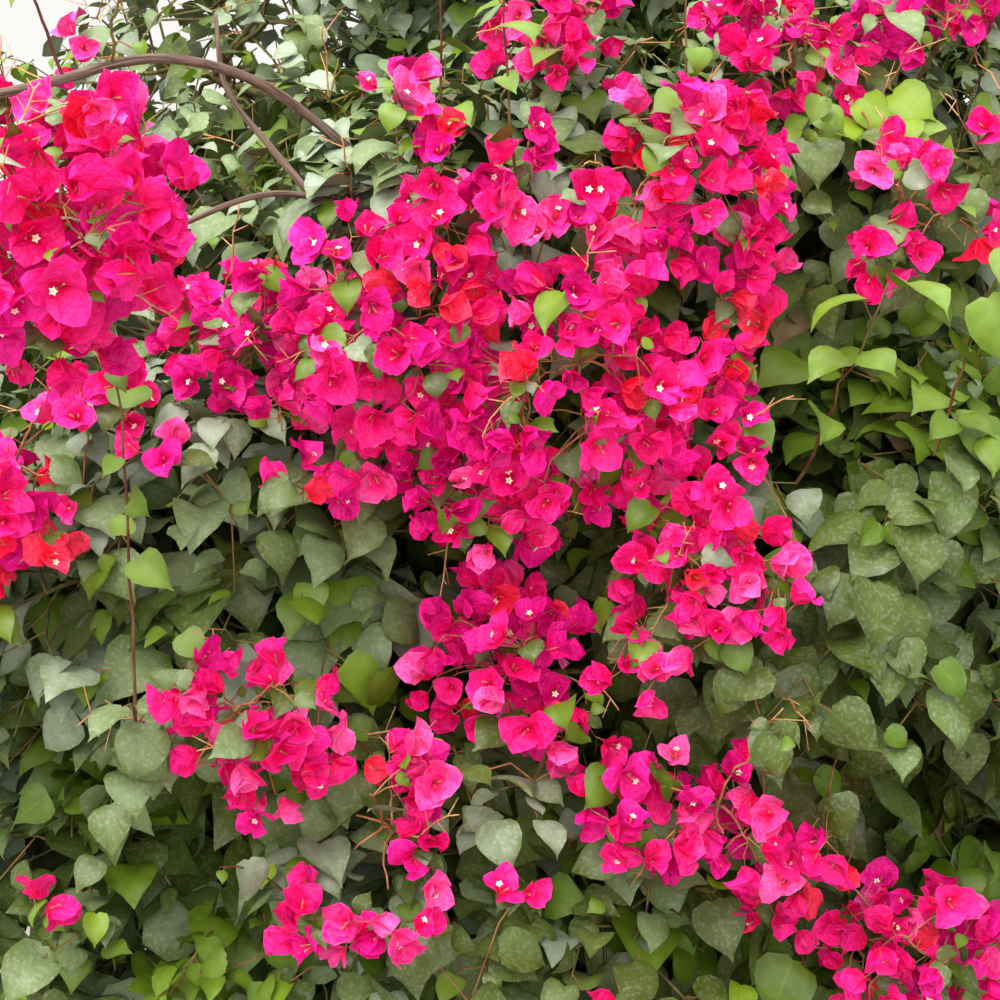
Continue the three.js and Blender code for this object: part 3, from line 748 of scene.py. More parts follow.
# Small groups of heads that stand apart: their place across and up, how many heads and how far they spread.
strays = {
    "above_left": (-0.5, 1.515, 3, 0.02),
    "strand_top": (-0.112, 1.44, 3, 0.012),
    "strand_foot": (-0.075, 1.41, 6, 0.02),
    "crown_left": (-0.015, 1.31, 12, 0.045),
    "crown_foot": (0.05, 1.3, 9, 0.036),
    "right_upper": (0.245, 1.205, 5, 0.02),
    "right_lower": (0.24, 1.075, 5, 0.02),
    "crown_far_left": (-0.06, 1.29, 8, 0.03),
    "crown_top_left": (0.02, 1.35, 4, 0.018),
    "crown_right": (0.255, 1.275, 9, 0.032),
    "top_left": (0.05, 1.46, 5, 0.025),
    "left_high": (-0.25, 1.225, 4, 0.022),
    "left_heart": (-0.205, 1.022, 3, 0.014),
    "left_bend": (-0.14, 1.055, 7, 0.03),
    "left_inner": (-0.225, 1.1, 3, 0.018),
    "left_a": (-0.385, 1.12, 4, 0.022),
    "left_edge_top": (-0.43, 1.1, 7, 0.028),
    "left_b": (-0.345, 1.055, 3, 0.018),
    "heart_foot": (0.02, 0.632, 2, 0.01),
    "right_heart": (0.21, 0.878, 3, 0.012),
    "right_tip": (0.272, 0.925, 6, 0.02),
    "under_right": (0.14, 0.885, 8, 0.034),
    "under_low": (0.085, 0.775, 8, 0.03),
    "low_left": (-0.305, 0.835, 8, 0.022),
    "foot_left_a": (-0.195, 0.602, 4, 0.02),
    "foot_left_b": (-0.15, 0.59, 5, 0.022),
    "foot_left_c": (-0.108, 0.592, 3, 0.016),
    "foot_left_d": (-0.085, 0.66, 4, 0.018),
    "foot_left_e": (-0.055, 0.735, 3, 0.022),
    "low_right_a": (0.105, 0.72, 7, 0.028),
    "low_right_b": (0.14, 0.69, 4, 0.018),
    "foot_centre": (0.12, 0.51, 5, 0.024),
    "foot_right": (0.335, 0.672, 6, 0.024),
    "foot_middle": (0.28, 0.63, 6, 0.028),
    "foot_edge": (0.3, 0.572, 4, 0.022),
    "right_high_a": (0.4, 1.36, 4, 0.018),
    "right_high_b": (0.4, 1.285, 6, 0.026),
    "right_edge": (0.54, 1.4, 4, 0.018),
    "far_left": (-0.49, 0.57, 2, 0.01),
}
strayStyle = {
    "mainStalk": (0.0013, 0.0009),
    "sideStalk": (0.0009, 0.0007),
    "tones": ["pink", "pink", "magenta", "pale"],
    "leafTones": ["sage", "deep", "fresh"],
}
roundStrays = {"groups": 9, "heads": (2, 7), "within": 0.13, "scattered": 22}
# Young shoots: where they start and end, how many leaves and how long these are.
shoots = {
    "centre": ((0.017, -0.66, 1.3), (0.003, -0.69, 1.56), 5, 0.042),
    "centre_left": ((-0.061, -0.56, 1.34), (-0.058, -0.6, 1.56), 3, 0.034),
    "right": ((0.215, -0.52, 1.42), (0.19, -0.56, 1.6), 3, 0.036),
    "cane_first": ((-0.42, -0.655, 1.437), (-0.452, -0.69, 1.55), 1, 0.03),
    "cane_second": ((-0.385, -0.625, 1.452), (-0.37, -0.67, 1.56), 2, 0.03),
    "left": ((-0.402, -0.71, 0.93), (-0.36, -0.8, 1.225), 8, 0.04),
    "right_side": ((0.34, -0.6, 1.12), (0.375, -0.7, 1.235), 5, 0.052),
    "right_edge": ((0.44, -0.55, 1.16), (0.5, -0.66, 1.27), 5, 0.055),
}
whips = {
    "count": 150,
    "length": (0.06, 0.15),
    "leaves": (3, 6),
    "size": 0.036,
    "tones": ["dusty", "sage", "sage", "deep", "fresh", "fresh"],
}
twigPoints = [np.array(tubes[kind]["paths"])[:, 1:].reshape(-1, 3) for kind in ("twig", "sideTwig")]
twigPoints = np.concatenate([*twigPoints, curveThrough(cane["rise"], 60)])


def nearestTwig(place, above=1.0):
    # the nearest point of a twig, no further up than asked
    low = twigPoints[twigPoints[:, 2] < place[2] + above]
    return low[np.linalg.norm((low - place) * vector(1, 1, 0.6), axis=1).argmin()]


def roundPlaces():
    # more groups on the sides, the back and the top: most of them near the sprays there
    draw = np.random.default_rng(17)
    tips = np.array(tubes["sideTwig"]["paths"])[:, -1]
    depth, out = buried(tips)
    outer = np.flatnonzero((depth < 0.03) & (tips[:, 1] > -0.3))
    places = tips[outer] + out[outer] * 0.014
    chances = []
    for mass in masses:
        if mass["place"].startswith("round"):
            far = np.linalg.norm(places - mass["centre"], axis=1)
            chances += [np.exp(-(far / roundStrays["within"]) ** 2)] * roundStrays["groups"]
    chances += [smoothStep(places[:, 2], 0.4, 1.5) + 0.1] * roundStrays["scattered"]
    for chance in chances:
        place = places[draw.choice(len(places), p=chance / chance.sum())]
        yield place, draw.integers(*roundStrays["heads"]), draw.uniform(0.015, 0.035)


def growStrays():
    draw = np.random.default_rng(7)
    groups = []
    for across, height, heads, spread in strays.values():
        groups.append((vector(across, frontAt(across, height) - standOff, height), heads, spread))
    for place, heads, spread in groups + list(roundPlaces()):
        kept = []
        _, out = buried(place[None])
        main = kinked(arched(nearestTwig(place), place - out[0] * standOff, up * 0.015, 4), 0.03, draw)
        keepTube("stalk", main, strayStyle["mainStalk"])
        for _ in range(heads * 3):
            if len(kept) >= heads:
                break
            node = place + draw.normal(0, spread * 0.6, 3)
            before = len(kept)
            away = unit(out[0] + draw.normal(0, 0.6, 3))
            growHeads(None, node, away, 2, draw.choice(strayStyle["tones"]), draw, kept)
            if len(kept) > before:
                start = atShares(main, draw.uniform(0.55, 1.0))
                stalk = kinked(arched(start, node, up * 0.01, 4), 0.03, draw)
                keepTube("stalk", stalk, strayStyle["sideStalk"])
                leafTone = draw.choice(strayStyle["leafTones"])
                growLeaves(None, stalk, 0.3, 1, blossom["leaf"], leafTone, draw, 0.4)


def growShoots():
    draw = np.random.default_rng(9)
    for start, end, leaves, size in shoots.values():
        root = nearestTwig(np.array(start), 0.0)
        path = arched(root, np.array(end), draw.normal(0, 0.008, 3), 12)
        path[1:-1] += draw.normal(0, 0.0016, (10, 3))
        keepTube("shoot", path)
        growLeaves(None, path, 0.35, leaves, size, "fresh", draw, 0.3)


def growWhips():
    # short young shoots that break the outline, each from the end of a side twig
    draw = np.random.default_rng(13)
    tips = np.array(tubes["sideTwig"]["paths"])[:, -1]
    depth, out = buried(tips)
    for i in draw.choice(np.flatnonzero(depth < 0.035), whips["count"], replace=False):
        length = draw.uniform(*whips["length"])
        way = unit(out[i] + up * draw.uniform(-0.3, 0.9) + draw.normal(0, 0.35, 3))
        path = arched(tips[i], tips[i] + way * length, up * 0.1 * length, 6)
        if inRoom(path).all():
            keepTube("whip", path)
            tone = draw.choice(whips["tones"])
            leaves = draw.integers(*whips["leaves"], endpoint=True)
            growLeaves(None, path, 0.15, leaves, whips["size"], tone, draw, 0.4)


def clearOfHeads(rows):
    # a leaf that would cut through a head isn't grown
    tree = KDTree(len(headRows))
    for i, (place, axis, size, *_) in enumerate(headRows):
        tree.insert(place + axis * size * 0.4, i)
    tree.balance()
    clear = []
    for row in rows:
        base, forward, _, length = row[:4]
        gap = min(tree.find(base + forward * length * share)[2] for share in (0.15, 0.5, 0.85))
        if gap > 0.003 + 0.3 * length:
            clear.append(row)
    return clear


growStrays()
growShoots()
growWhips()
leafRows = clearOfHeads(leafRows)
print("with strays and shoots:", len(leafRows), "leaves,", len(headRows), "heads")


# Meshes from arrays.
triangles = {}


def addMesh(name, points, faces, material, slot, replaced, uv=None, extra=None):
    mesh = bpy.data.meshes.new(name)
    loops = np.concatenate([part.reshape(-1) for part in faces]).astype(np.int32)
    sizes = np.concatenate([np.full(len(part), part.shape[1]) for part in faces])
    starts = np.concatenate([[0], np.cumsum(sizes)[:-1]])
    mesh.vertices.add(len(points))
    mesh.vertices.foreach_set("co", points.astype(np.float32).reshape(-1))
    mesh.loops.add(len(loops))
    mesh.loops.foreach_set("vertex_index", loops)
    mesh.polygons.add(len(sizes))
    mesh.polygons.foreach_set("loop_start", starts.astype(np.int32))
    mesh.polygons.foreach_set("use_smooth", np.ones(len(sizes), bool))
    mesh.update(calc_edges=True)
    if uv is not None:
        layer = mesh.uv_layers.new(name="blade")
        layer.data.foreach_set("uv", uv[loops].astype(np.float32).reshape(-1))
    for key, values in (extra or {}).items():
        flat = values.ndim == 1
        attribute = mesh.attributes.new(key, "FLOAT" if flat else "FLOAT_VECTOR", "POINT")
        attribute.data.foreach_set("value" if flat else "vector", values.astype(np.float32).reshape(-1))
    mesh.materials.append(material)
    piece = bpy.data.objects.new(name, mesh)
    bpy.context.scene.collection.objects.link(piece)
    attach(piece, body)
    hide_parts(*replaced)
    triangles[name] = int((sizes - 2).sum())
    print(f"  {name}: {triangles[name]} triangles")


def repeated(faces, count, step):
    # the same faces for many copies, each with so many points
    return (faces[None] + np.arange(count)[:, None, None] * step).reshape(-1, faces.shape[-1])


def joined(parts):
    points, faces, first = [], [], 0
    for partPoints, partFaces in parts:
        points.append(partPoints)
        faces += [face + first for face in partFaces]
        first += len(partPoints)
    return np.concatenate(points), faces


def tubePoints(paths, radii, sides):
    # rings round many paths at once, each ring's first spoke carried on from the one before
    along = unit(np.gradient(paths, axis=1))
    helper = np.where(np.abs(along[:, 0, 2:]) < 0.9, up, vector(1, 0, 0))
    spoke = squareTo(helper, along[:, 0])
    angles = np.arange(sides) / sides * fullTurn
    rings = []
    for i in range(paths.shape[1]):
        spoke = squareTo(spoke, along[:, i])
        other = np.cross(along[:, i], spoke)
        wheel = circled(spoke[:, None], other[:, None], angles)
        rings.append(paths[:, i, None] + radii[:, i, None, None] * wheel)
    return np.stack(rings, 1)


def tubeFaces(count, steps, sides):
    # quads along each tube and one cap at its tip
    side = np.arange(sides)
    onward = (side + 1) % sides
    ring = np.arange(steps - 1)[:, None] * sides
    quads = np.stack([ring + side, ring + onward, ring + sides + onward, ring + sides + side], -1)
    cap = (steps - 1) * sides + side
    return [repeated(faces, count, steps * sides) for faces in (quads.reshape(-1, 4), cap[None])]


def tubeMesh(*kinds):
    parts = []
    for kind in kinds:
        sides = tubeKinds[kind]["sides"]
        paths = np.array(tubes[kind]["paths"])
        radii = np.array(tubes[kind]["radii"])
        rings = tubePoints(paths, radii, sides)
        parts.append((rings.reshape(-1, 3), tubeFaces(len(paths), paths.shape[1], sides)))
    return joined(parts)


# Blades: one outline bent, folded and rippled in place for every leaf or bract.
# A row says how far along it lies at the midrib, halfway out and at the edge, and its half width.
leafOutline = [
    (0, -0.045, -0.015, 0.2),
    (0.08, 0.045, 0.035, 0.4),
    (0.22, 0.2, 0.19, 0.495),
    (0.4, 0.395, 0.39, 0.485),
    (0.58, 0.58, 0.585, 0.365),
    (0.74, 0.745, 0.75, 0.185),
    (0.87, 0.87, 0.87, 0.06),
]
bractOutline = [
    (0, 0, 0, 0.09),
    (0.17, 0.16, 0.15, 0.35),
    (0.4, 0.4, 0.39, 0.5),
    (0.65, 0.655, 0.66, 0.45),
    (0.86, 0.865, 0.87, 0.23),
]


def bladeGrid(outline, columns):
    along, across, spread = [], [], []
    for middle, half, edge, width in outline:
        for column in columns:
            along.append(np.interp(abs(column), [0, 0.5, 1], [middle, half, edge]))
            across.append(column * width)
            spread.append(column)
    along.append(1)
    across.append(0)
    spread.append(0)
    wide = len(columns)
    faces = []
    for row in range(len(outline) - 1):
        for i in range(wide - 1):
            a = row * wide + i
            faces += [(a, a + 1, a + wide + 1), (a, a + wide + 1, a + wide)]
    last = (len(outline) - 1) * wide
    faces += [(last + i, last + i + 1, len(along) - 1) for i in range(wide - 1)]
    return np.array(along), np.array(across), np.array(spread), np.array(faces)


def bladePoints(grid, base, forward, face, look):
    along, across, spread, faces = grid
    count = len(base)
    first, last = look["firstBend"][:, None], look["lastBend"][:, None]
    turn = np.where(np.abs(last - first) < 1e-3, 1e-3, last - first)
    angle = first + turn * along
    onward = (np.sin(angle) - np.sin(first)) / turn
    rise = (np.cos(first) - np.cos(angle)) / turn
    sideways = across * look["width"][:, None]
    wave = np.sin(look["phase"][:, None] + 7.5 * along + 2.2 * np.sign(across)) * np.abs(spread)
    swell = look["fold"][:, None] * np.abs(sideways) + look["cup"][:, None] * sideways ** 2
    swell = swell + wave * look["ripple"][:, None]
    onward = onward - swell * np.sin(angle)
    rise = rise + swell * np.cos(angle)
    sideways = sideways + look["sway"][:, None] * along * (along - 0.4)
    side = np.cross(forward, face)
    local = (
        onward[..., None] * forward[:, None]
        + rise[..., None] * face[:, None]
        + sideways[..., None] * side[:, None]
    )
    points = base[:, None] + look["length"][:, None, None] * local
    uv = np.broadcast_to(np.stack([0.5 + 0.5 * spread, along], 1), (count, len(along), 2))
    return points.reshape(-1, 3), repeated(faces, count, len(along)), uv.reshape(-1, 2)


def drawLook(shape, count, draw):
    # each setting of many blades, drawn between its two ends
    return {key: draw.uniform(*ends, count) for key, ends in shape.items()}


def pick(rows, chosen):
    return {key: values[chosen] for key, values in rows.items()}


def addBlades(name, blades, material, slot, replaced):
    # each row of blades holds points, faces, places on the blade, and shades
    points, faces = joined([(blade[0], [blade[1]]) for blade in blades])
    uv, shade = (np.concatenate([blade[i] for blade in blades]) for i in (2, 3))
    addMesh(name, points, faces, material, slot, replaced, uv, {"shade": shade})



# Shader maths: a wire is a node's output, and sums on it add nodes.
class Wire:
    def __init__(self, sheet, socket):
        self.sheet = sheet
        self.socket = socket

    def maths(self, operation, first, second=0.0):
        return self.sheet.node("ShaderNodeMath", {"operation": operation}, {0: first, 1: second})

    def __add__(self, other):
        return self.maths("ADD", self, other)

    def __radd__(self, other):
        return self.maths("ADD", other, self)

    def __sub__(self, other):
        return self.maths("SUBTRACT", self, other)

    def __rsub__(self, other):
        return self.maths("SUBTRACT", other, self)

    def __mul__(self, other):
        return self.maths("MULTIPLY", self, other)

    def __rmul__(self, other):
        return self.maths("MULTIPLY", other, self)

    def __abs__(self):
        return self.maths("ABSOLUTE", self)

    def __mod__(self, other):
        return self.maths("MODULO", self, other)

    def output(self, index):
        return Wire(self.sheet, self.socket.node.outputs[index])


class Sheet:
    def __init__(self, name):
        self.material = bpy.data.materials.new(name)
        self.material.use_nodes = True
        self.tree = self.material.node_tree
        self.tree.nodes.clear()

    def node(self, kind, settings=None, inputs=None, output=0):
        made = self.tree.nodes.new(kind)
        for key, value in (settings or {}).items():
            setattr(made, key, value)
        for key, value in (inputs or {}).items():
            socket = made.inputs[key]
            if isinstance(value, Wire):
                self.tree.links.new(value.socket, socket)
            elif socket.type == "RGBA":
                socket.default_value = (*value, 1)
            else:
                socket.default_value = value
        return Wire(self, made.outputs[output]) if made.outputs else None

    def blend(self, share, low, high):
        # one colour passing into another
        return self.node("ShaderNodeMix", {"data_type": "RGBA"}, {0: share, 6: low, 7: high}, 2)

    def band(self, value, low, high):
        # 0 below low, 1 above high
        inputs = {"Value": value, "From Min": low, "From Max": high}
        return self.node("ShaderNodeMapRange", {"interpolation_type": "SMOOTHSTEP"}, inputs)

    def noise(self, place, scale, detail=2.0, roughness=0.55):
        inputs = {"Vector": place, "Scale": scale, "Detail": detail, "Roughness": roughness}
        return self.node("ShaderNodeTexNoise", {}, inputs)

    def attribute(self, name, output):
        return self.node("ShaderNodeAttribute", {"attribute_name": name}, output=output)

    def objectPlace(self):
        return self.node("ShaderNodeTexCoord", {}, output=3)

    def bladePlace(self):
        # across the blade from 0 at the midrib to 1 at the edge, and along it
        place = self.node("ShaderNodeUVMap", {"uv_map": "blade"})
        split = self.node("ShaderNodeSeparateXYZ", {}, {0: place})
        return abs(split - 0.5) * 2, split.output(1)

    def ribs(self, away, along, count, slant, width):
        # side veins that run outward and forward from the midrib
        phase = abs((along * count - away * slant + 8) % 1.0 - 0.5)
        return 1 - self.band(phase, width * 0.3, width)

    def finish(self, surface, colour, roughness, height=None, strength=0.3, distance=0.001):
        inputs = {"Base Color": colour, "Roughness": roughness, **surface}
        if height is not None:
            bump = {"Height": height, "Strength": strength, "Distance": distance}
            inputs["Normal"] = self.node("ShaderNodeBump", {}, bump)
        shader = self.node("ShaderNodeBsdfPrincipled", {}, inputs)
        self.node("ShaderNodeOutputMaterial", {}, {"Surface": shader})
        return self.material


def fromScreen(colour):
    # a colour as it is seen, from 0 to 255, as the light it stands for
    shares = [v / 255 for v in colour]
    return tuple(((v + 0.055) / 1.055) ** 2.4 if v > 0.04 else v / 12.92 for v in shares)


def scaled(colour, factor):
    return tuple(min(v * factor, 1.0) for v in colour)


# Leaves: darker and greener at their edges, painted shade where they hang and a greyer painted sheen where
# they face up.
leafFinish = {"dusting": fromScreen((184, 184, 170)), "blotches": 60.0, "specks": 240.0}
# low is the shaded end and high the lit end of each tone: painted shade and painted sheen
leafColours = {
    "dusty": {"low": (88, 110, 40), "high": (144, 158, 136), "roughness": 0.5, "dust": 0.24},
    "sage": {"low": (80, 100, 22), "high": (116, 136, 90), "roughness": 0.48, "dust": 0.2},
    "deep": {"low": (62, 78, 8), "high": (92, 110, 46), "roughness": 0.45, "dust": 0.14},
    "fresh": {"low": (74, 102, 8), "high": (108, 136, 34), "roughness": 0.48, "dust": 0.0},
    "lime": {"low": (98, 130, 12), "high": (130, 160, 34), "roughness": 0.48, "dust": 0.0},
    "faded": {"low": (110, 96, 50), "high": (150, 134, 96), "roughness": 0.6, "dust": 0.2},
}


def leafMaterial(tone):
    look = leafColours[tone]
    low, high = fromScreen(look["low"]), fromScreen(look["high"])
    sheet = Sheet(f"leaf_{tone}")
    away, along = sheet.bladePlace()
    blotch = sheet.noise(sheet.objectPlace(), leafFinish["blotches"], 1.0)
    specks = sheet.noise(sheet.objectPlace(), leafFinish["specks"], 0.0)
    shade = sheet.attribute("shade", 2)
    edge = sheet.band(away, 0.5, 1.0) * 0.35 + sheet.band(along, 0.55, 1.0) * 0.35
    # painted light and shade: the shade attribute moves each leaf from its shaded towards its lit colour;
    # blotches and the darker, greener edges are its own colour
    toneAndPaintedLight = sheet.blend(shade * 0.8 + blotch * 1.0 - 0.34 - edge, low, high)
    dusted = sheet.blend(sheet.band(specks, 0.5, 0.75) * look["dust"], toneAndPaintedLight, leafFinish["dusting"])
    midrib = 1 - sheet.band(away, 0.02, 0.08)
    ribs = sheet.ribs(away, along, 5.0, 1.6, 0.12)
    colour = sheet.blend(midrib * 0.35 + ribs * 0.14, dusted, scaled(high, 1.1))
    return sheet.finish({"Specular IOR Level": 0.5}, colour, look["roughness"], blotch, 0.5, 0.003)


# Bracts: papery, redder at the base, with fine veins, a painted highlight at the rim and a faint painted
# glow.
bractCrinkleAndPaintedGlow = {"crinkle": 110.0, "paintedGlow": 0.11}
# low is the shaded end and high the lit end of each tone, painted shade and painted highlight; base is the
# redder colour at the foot of each bract
bractColours = {
    "pink": {"base": (226, 0, 70), "low": (214, 0, 98), "high": (252, 40, 148)},
    "magenta": {"base": (208, 0, 84), "low": (196, 0, 106), "high": (242, 30, 152)},
    "coral": {"base": (234, 10, 52), "low": (230, 10, 66), "high": (252, 66, 100)},
    # the pale tone stands partly for painted highlights on whole heads
    "pale": {"base": (236, 10, 98), "low": (234, 18, 122), "high": (252, 104, 184)},
}


def bractMaterial(tone):
    look = {key: fromScreen(colour) for key, colour in bractColours[tone].items()}

    sheet = Sheet(f"bract_{tone}")
    away, along = sheet.bladePlace()
    crinkle = sheet.noise(sheet.objectPlace(), bractCrinkleAndPaintedGlow["crinkle"], 2.0)
    # painted highlights along thin crease lines in the crinkles
    creaseHighlight = 1 - sheet.band(abs(crinkle - 0.5), 0.0, 0.035)
    shade = sheet.attribute("shade", 2)
    # a painted highlight along the rim
    rim = sheet.band(away, 0.8, 1.0) * 0.35
    # painted light and shade: the head's random shade, the crinkles, the rim highlight and the crease
    # highlights move each bract from its shaded towards its lit colour
    light = shade * 0.7 + crinkle * 1.1 - 0.5 + rim + creaseHighlight * 0.3
    toneAndPaintedLight = sheet.blend(light, look["low"], look["high"])
    # redder at the base, partly the bract's own colour and partly painted light coming through the
    # overlapping bracts there
    warm = sheet.blend((1 - sheet.band(along, 0.1, 0.55)) * 0.7, toneAndPaintedLight, look["base"])
    veins = sheet.ribs(away, along, 4.0, 2.4, 0.12) + (1 - sheet.band(away, 0.02, 0.08))
    colour = sheet.blend(veins * 0.16, warm, scaled(look["low"], 0.6))
    # a faint painted glow in the bract's own colour, for light coming through the thin bracts
    surface = {
        "Specular IOR Level": 0.2,
        "Emission Color": colour,
        "Emission Strength": bractCrinkleAndPaintedGlow["paintedGlow"],
    }
    return sheet.finish(surface, colour, 0.5, crinkle, 0.9, 0.006)


def barkMaterial():
    sheet = Sheet("bark")
    grain = sheet.attribute("grain", 1)
    furrows = sheet.noise(grain, 2.2, 5.0, 0.65)
    patches = sheet.noise(sheet.objectPlace(), 16.0)
    ridge = sheet.band(furrows, 0.36, 0.66)
    wood = sheet.blend(ridge, fromScreen((62, 46, 38)), fromScreen((134, 112, 98)))
    colour = sheet.blend(sheet.band(patches, 0.5, 0.72) * 0.5, wood, fromScreen((116, 104, 88)))
    return sheet.finish({"Specular IOR Level": 0.25}, colour, 0.86, furrows, 0.7, 0.002)


def shootMaterial(name, low, high, scale=60.0):
    # young bark: one colour passing into another along the shoots
    sheet = Sheet(name)
    patches = sheet.noise(sheet.objectPlace(), scale)
    colour = sheet.blend(sheet.band(patches, 0.35, 0.65), fromScreen(low), fromScreen(high))
    return sheet.finish({"Specular IOR Level": 0.3}, colour, 0.6, patches, 0.3, 0.001)


def starMaterial():
    sheet = Sheet("flower_cream")
    _, along = sheet.bladePlace()
    middle, rim = fromScreen((226, 204, 120)), fromScreen((250, 242, 220))
    colour = sheet.blend(sheet.band(along, 0.15, 0.6), middle, rim)
    return sheet.finish({"Specular IOR Level": 0.3}, colour, 0.55)



# Woody limbs, with their bark's relief in the mesh.
bark = {
    "furrows": 9,
    "depth": 0.05,
    "knots": 0.07,
    "stemSides": 72,
    "stemSteps": 84,
    "boughSides": 14,
    "boughSteps": 40,
}


def barkRelief(angle, metres, draw):
    # ridges that run along the limb, wander and break up
    phases = draw.uniform(0, fullTurn, 7)
    wander = 0.5 * np.sin(metres * 9 + phases[0]) + 0.3 * np.sin(metres * 23 + phases[1])
    ridges = np.abs(np.sin((angle + wander) * bark["furrows"] / 2 + phases[2]))
    breaks = np.sin(metres * 61 + angle * 3 + phases[3]) * np.sin(metres * 37 - angle * 2 + phases[4])
    knots = np.maximum(0, np.sin(metres * 17 + phases[5]) * np.sin(angle + phases[6])) ** 4
    return 1 + bark["depth"] * (ridges - 0.6 + 0.4 * breaks) + bark["knots"] * knots


def limbMesh(path, radiusAt, sides, draw, isStem=False):
    steps = len(path)
    share = np.linspace(0, 1, steps)[:, None]
    angle = np.arange(sides)[None] / sides * fullTurn
    metres = share * np.linalg.norm(np.diff(path, axis=0), axis=1).sum()
    radii = radiusAt(share, angle) * barkRelief(angle, metres, draw)
    wheel = tubePoints(path[None], np.ones((1, steps)), sides)[0] - path[:, None]
    points = path[:, None] + wheel * radii[..., None]
    if isStem:
        points[0, :, 2] = 0
        points[..., 2] = np.maximum(points[..., 2], 0)
    grain = np.stack(np.broadcast_arrays(np.cos(angle), np.sin(angle), metres * 9), -1)
    faces = tubeFaces(1, steps, sides)
    faces.append(np.arange(sides)[::-1][None])
    return points.reshape(-1, 3), faces, grain.reshape(-1, 3)


def stemRadius(share, angle):
    buttress = 1 - stem["lobeDepth"] + stem["lobeDepth"] * np.cos(stem["lobes"] * angle)
    flare = stem["flare"] * buttress * np.exp(-share / stem["flareDepth"])
    return mixed(stem["footRadius"], stem["topRadius"], share) + flare


def taper(rootRadius, tipRadius):
    return lambda share, angle: mixed(rootRadius, tipRadius, share) + 0 * angle


def buildLimbs():
    draw = np.random.default_rng(11)
    stemTop = stem["lean"] + up * stem["height"]
    upright = up * stem["height"] * stem["uprightTo"]
    stemPoints = [vector(0, 0, 0), upright, stemTop * stem["bendAt"], stemTop]
    stemPath = curveThrough(stemPoints, bark["stemSteps"])
    parts = [limbMesh(stemPath, stemRadius, bark["stemSides"], draw, True)]
    first, bend, last = cane["radii"]
    limbs = [(points, bough["rootRadius"], bough["tipRadius"]) for points in boughs.values()]
    limbs.append((cane["rise"], first, bend))
    limbs.append(([cane["rise"][-1], *cane["reach"]], bend, last))
    limbs += [(points, *cane["sideRadii"]) for points in cane["sides"]]
    for points, rootRadius, tipRadius in limbs:
        path = curveThrough(points, bark["boughSteps"])
        parts.append(limbMesh(path, taper(rootRadius, tipRadius), bark["boughSides"], draw))
    points, faces = joined([part[:2] for part in parts])
    return points, faces, np.concatenate([part[2] for part in parts])


print("building pieces")
foliageNodes = [name for name in nodes if name.startswith("foliage_")]
blossomNodes = [name for name in nodes if name.startswith("blossom_")]
limbNodes = [name for name in nodes if name not in foliageNodes + blossomNodes]
limbPoints, limbFaces, grain = buildLimbs()
addMesh("woody_limbs", limbPoints, limbFaces, barkMaterial(), "bark", limbNodes, None, {"grain": grain})

twigBark = shootMaterial("twig_bark", (92, 78, 56), (128, 122, 66))
stalkBark = shootMaterial("stalk_bark", (150, 88, 60), (172, 126, 84))
# paler than the blossom stalks' bark, as painted light against the shade of the leaves over the old stalks
oldStalkBarkPaintedLighter = shootMaterial("old_stalk_bark_painted_lighter", (184, 116, 76), (204, 162, 112))
shootBark = shootMaterial("shoot_bark", (92, 42, 34), (112, 92, 48), 22.0)
addMesh("twigs", *tubeMesh("massStem", "twig", "sideTwig"), twigBark, "bark", foliageNodes)
addMesh("blossom_stalks", *tubeMesh("sprayTwig", "stalk", "pedicel"), stalkBark, "bark", blossomNodes)
addMesh("old_stalks", *tubeMesh("bareStalk", "fork"), oldStalkBarkPaintedLighter, "bark", foliageNodes)
addMesh("young_shoots", *tubeMesh("shoot", "whip"), shootBark, "bark", foliageNodes)

# Leaves, with the stalks that carry them: finer blades the nearer they are to the outside.
leafShape = {
    "width": (0.71, 0.93),
    "fold": (-0.1, 0.5),
    "cup": (-0.7, 0.1),
    "ripple": (0.015, 0.065),
    "phase": (0, fullTurn),
}
leafDroop = {"firstBend": (0.05, 0.4), "lastBend": (0.25, 1.4)}
leafGrades = [
    (-1, 0.05, bladeGrid(leafOutline, (-1, -0.5, 0, 0.5, 1))),
    (0.05, 0.135, bladeGrid(leafOutline[:6], (-1, 0, 1))),
    (0.135, 1, bladeGrid([leafOutline[i] for i in (0, 2, 3, 5)], (-1, 0, 1))),
]
leafKeys = ["base", "forward", "face", "length", "tone", "depth", "root", "lit"]
leaves = {key: np.array(values) for key, values in zip(leafKeys, zip(*leafRows))}
leafCount = len(leafRows)
# the front is the finest
leafDetail = leaves["depth"] + 0.04 * smoothStep(leaves["base"][:, 1], -0.42, -0.2)
leafDraw = np.random.default_rng(21)
leafLook = {"length": leaves["length"], **drawLook(leafShape, leafCount, leafDraw)}
leafLook["sway"] = leafDraw.normal(0, 0.16, leafCount)
leafLook.update(drawLook(leafDroop, leafCount, leafDraw))
leafLook["lastBend"] = -leafLook["lastBend"]


def addLeaves(tone):
    blades = []
    for shallow, deep, grid in leafGrades:
        fits = (leaves["tone"] == tone) & (leafDetail >= shallow) & (leafDetail < deep)
        chosen = np.flatnonzero(fits)
        leaf = pick(leaves, chosen)
        blade = bladePoints(grid, leaf["base"], leaf["forward"], leaf["face"], pick(leafLook, chosen))
        blades.append((*blade, np.repeat(leaf["lit"], len(grid[0]))))
    addBlades(f"leaves_{tone}", blades, leafMaterial(tone), "leaves", foliageNodes)


for tone in leafTones:
    addLeaves(tone)

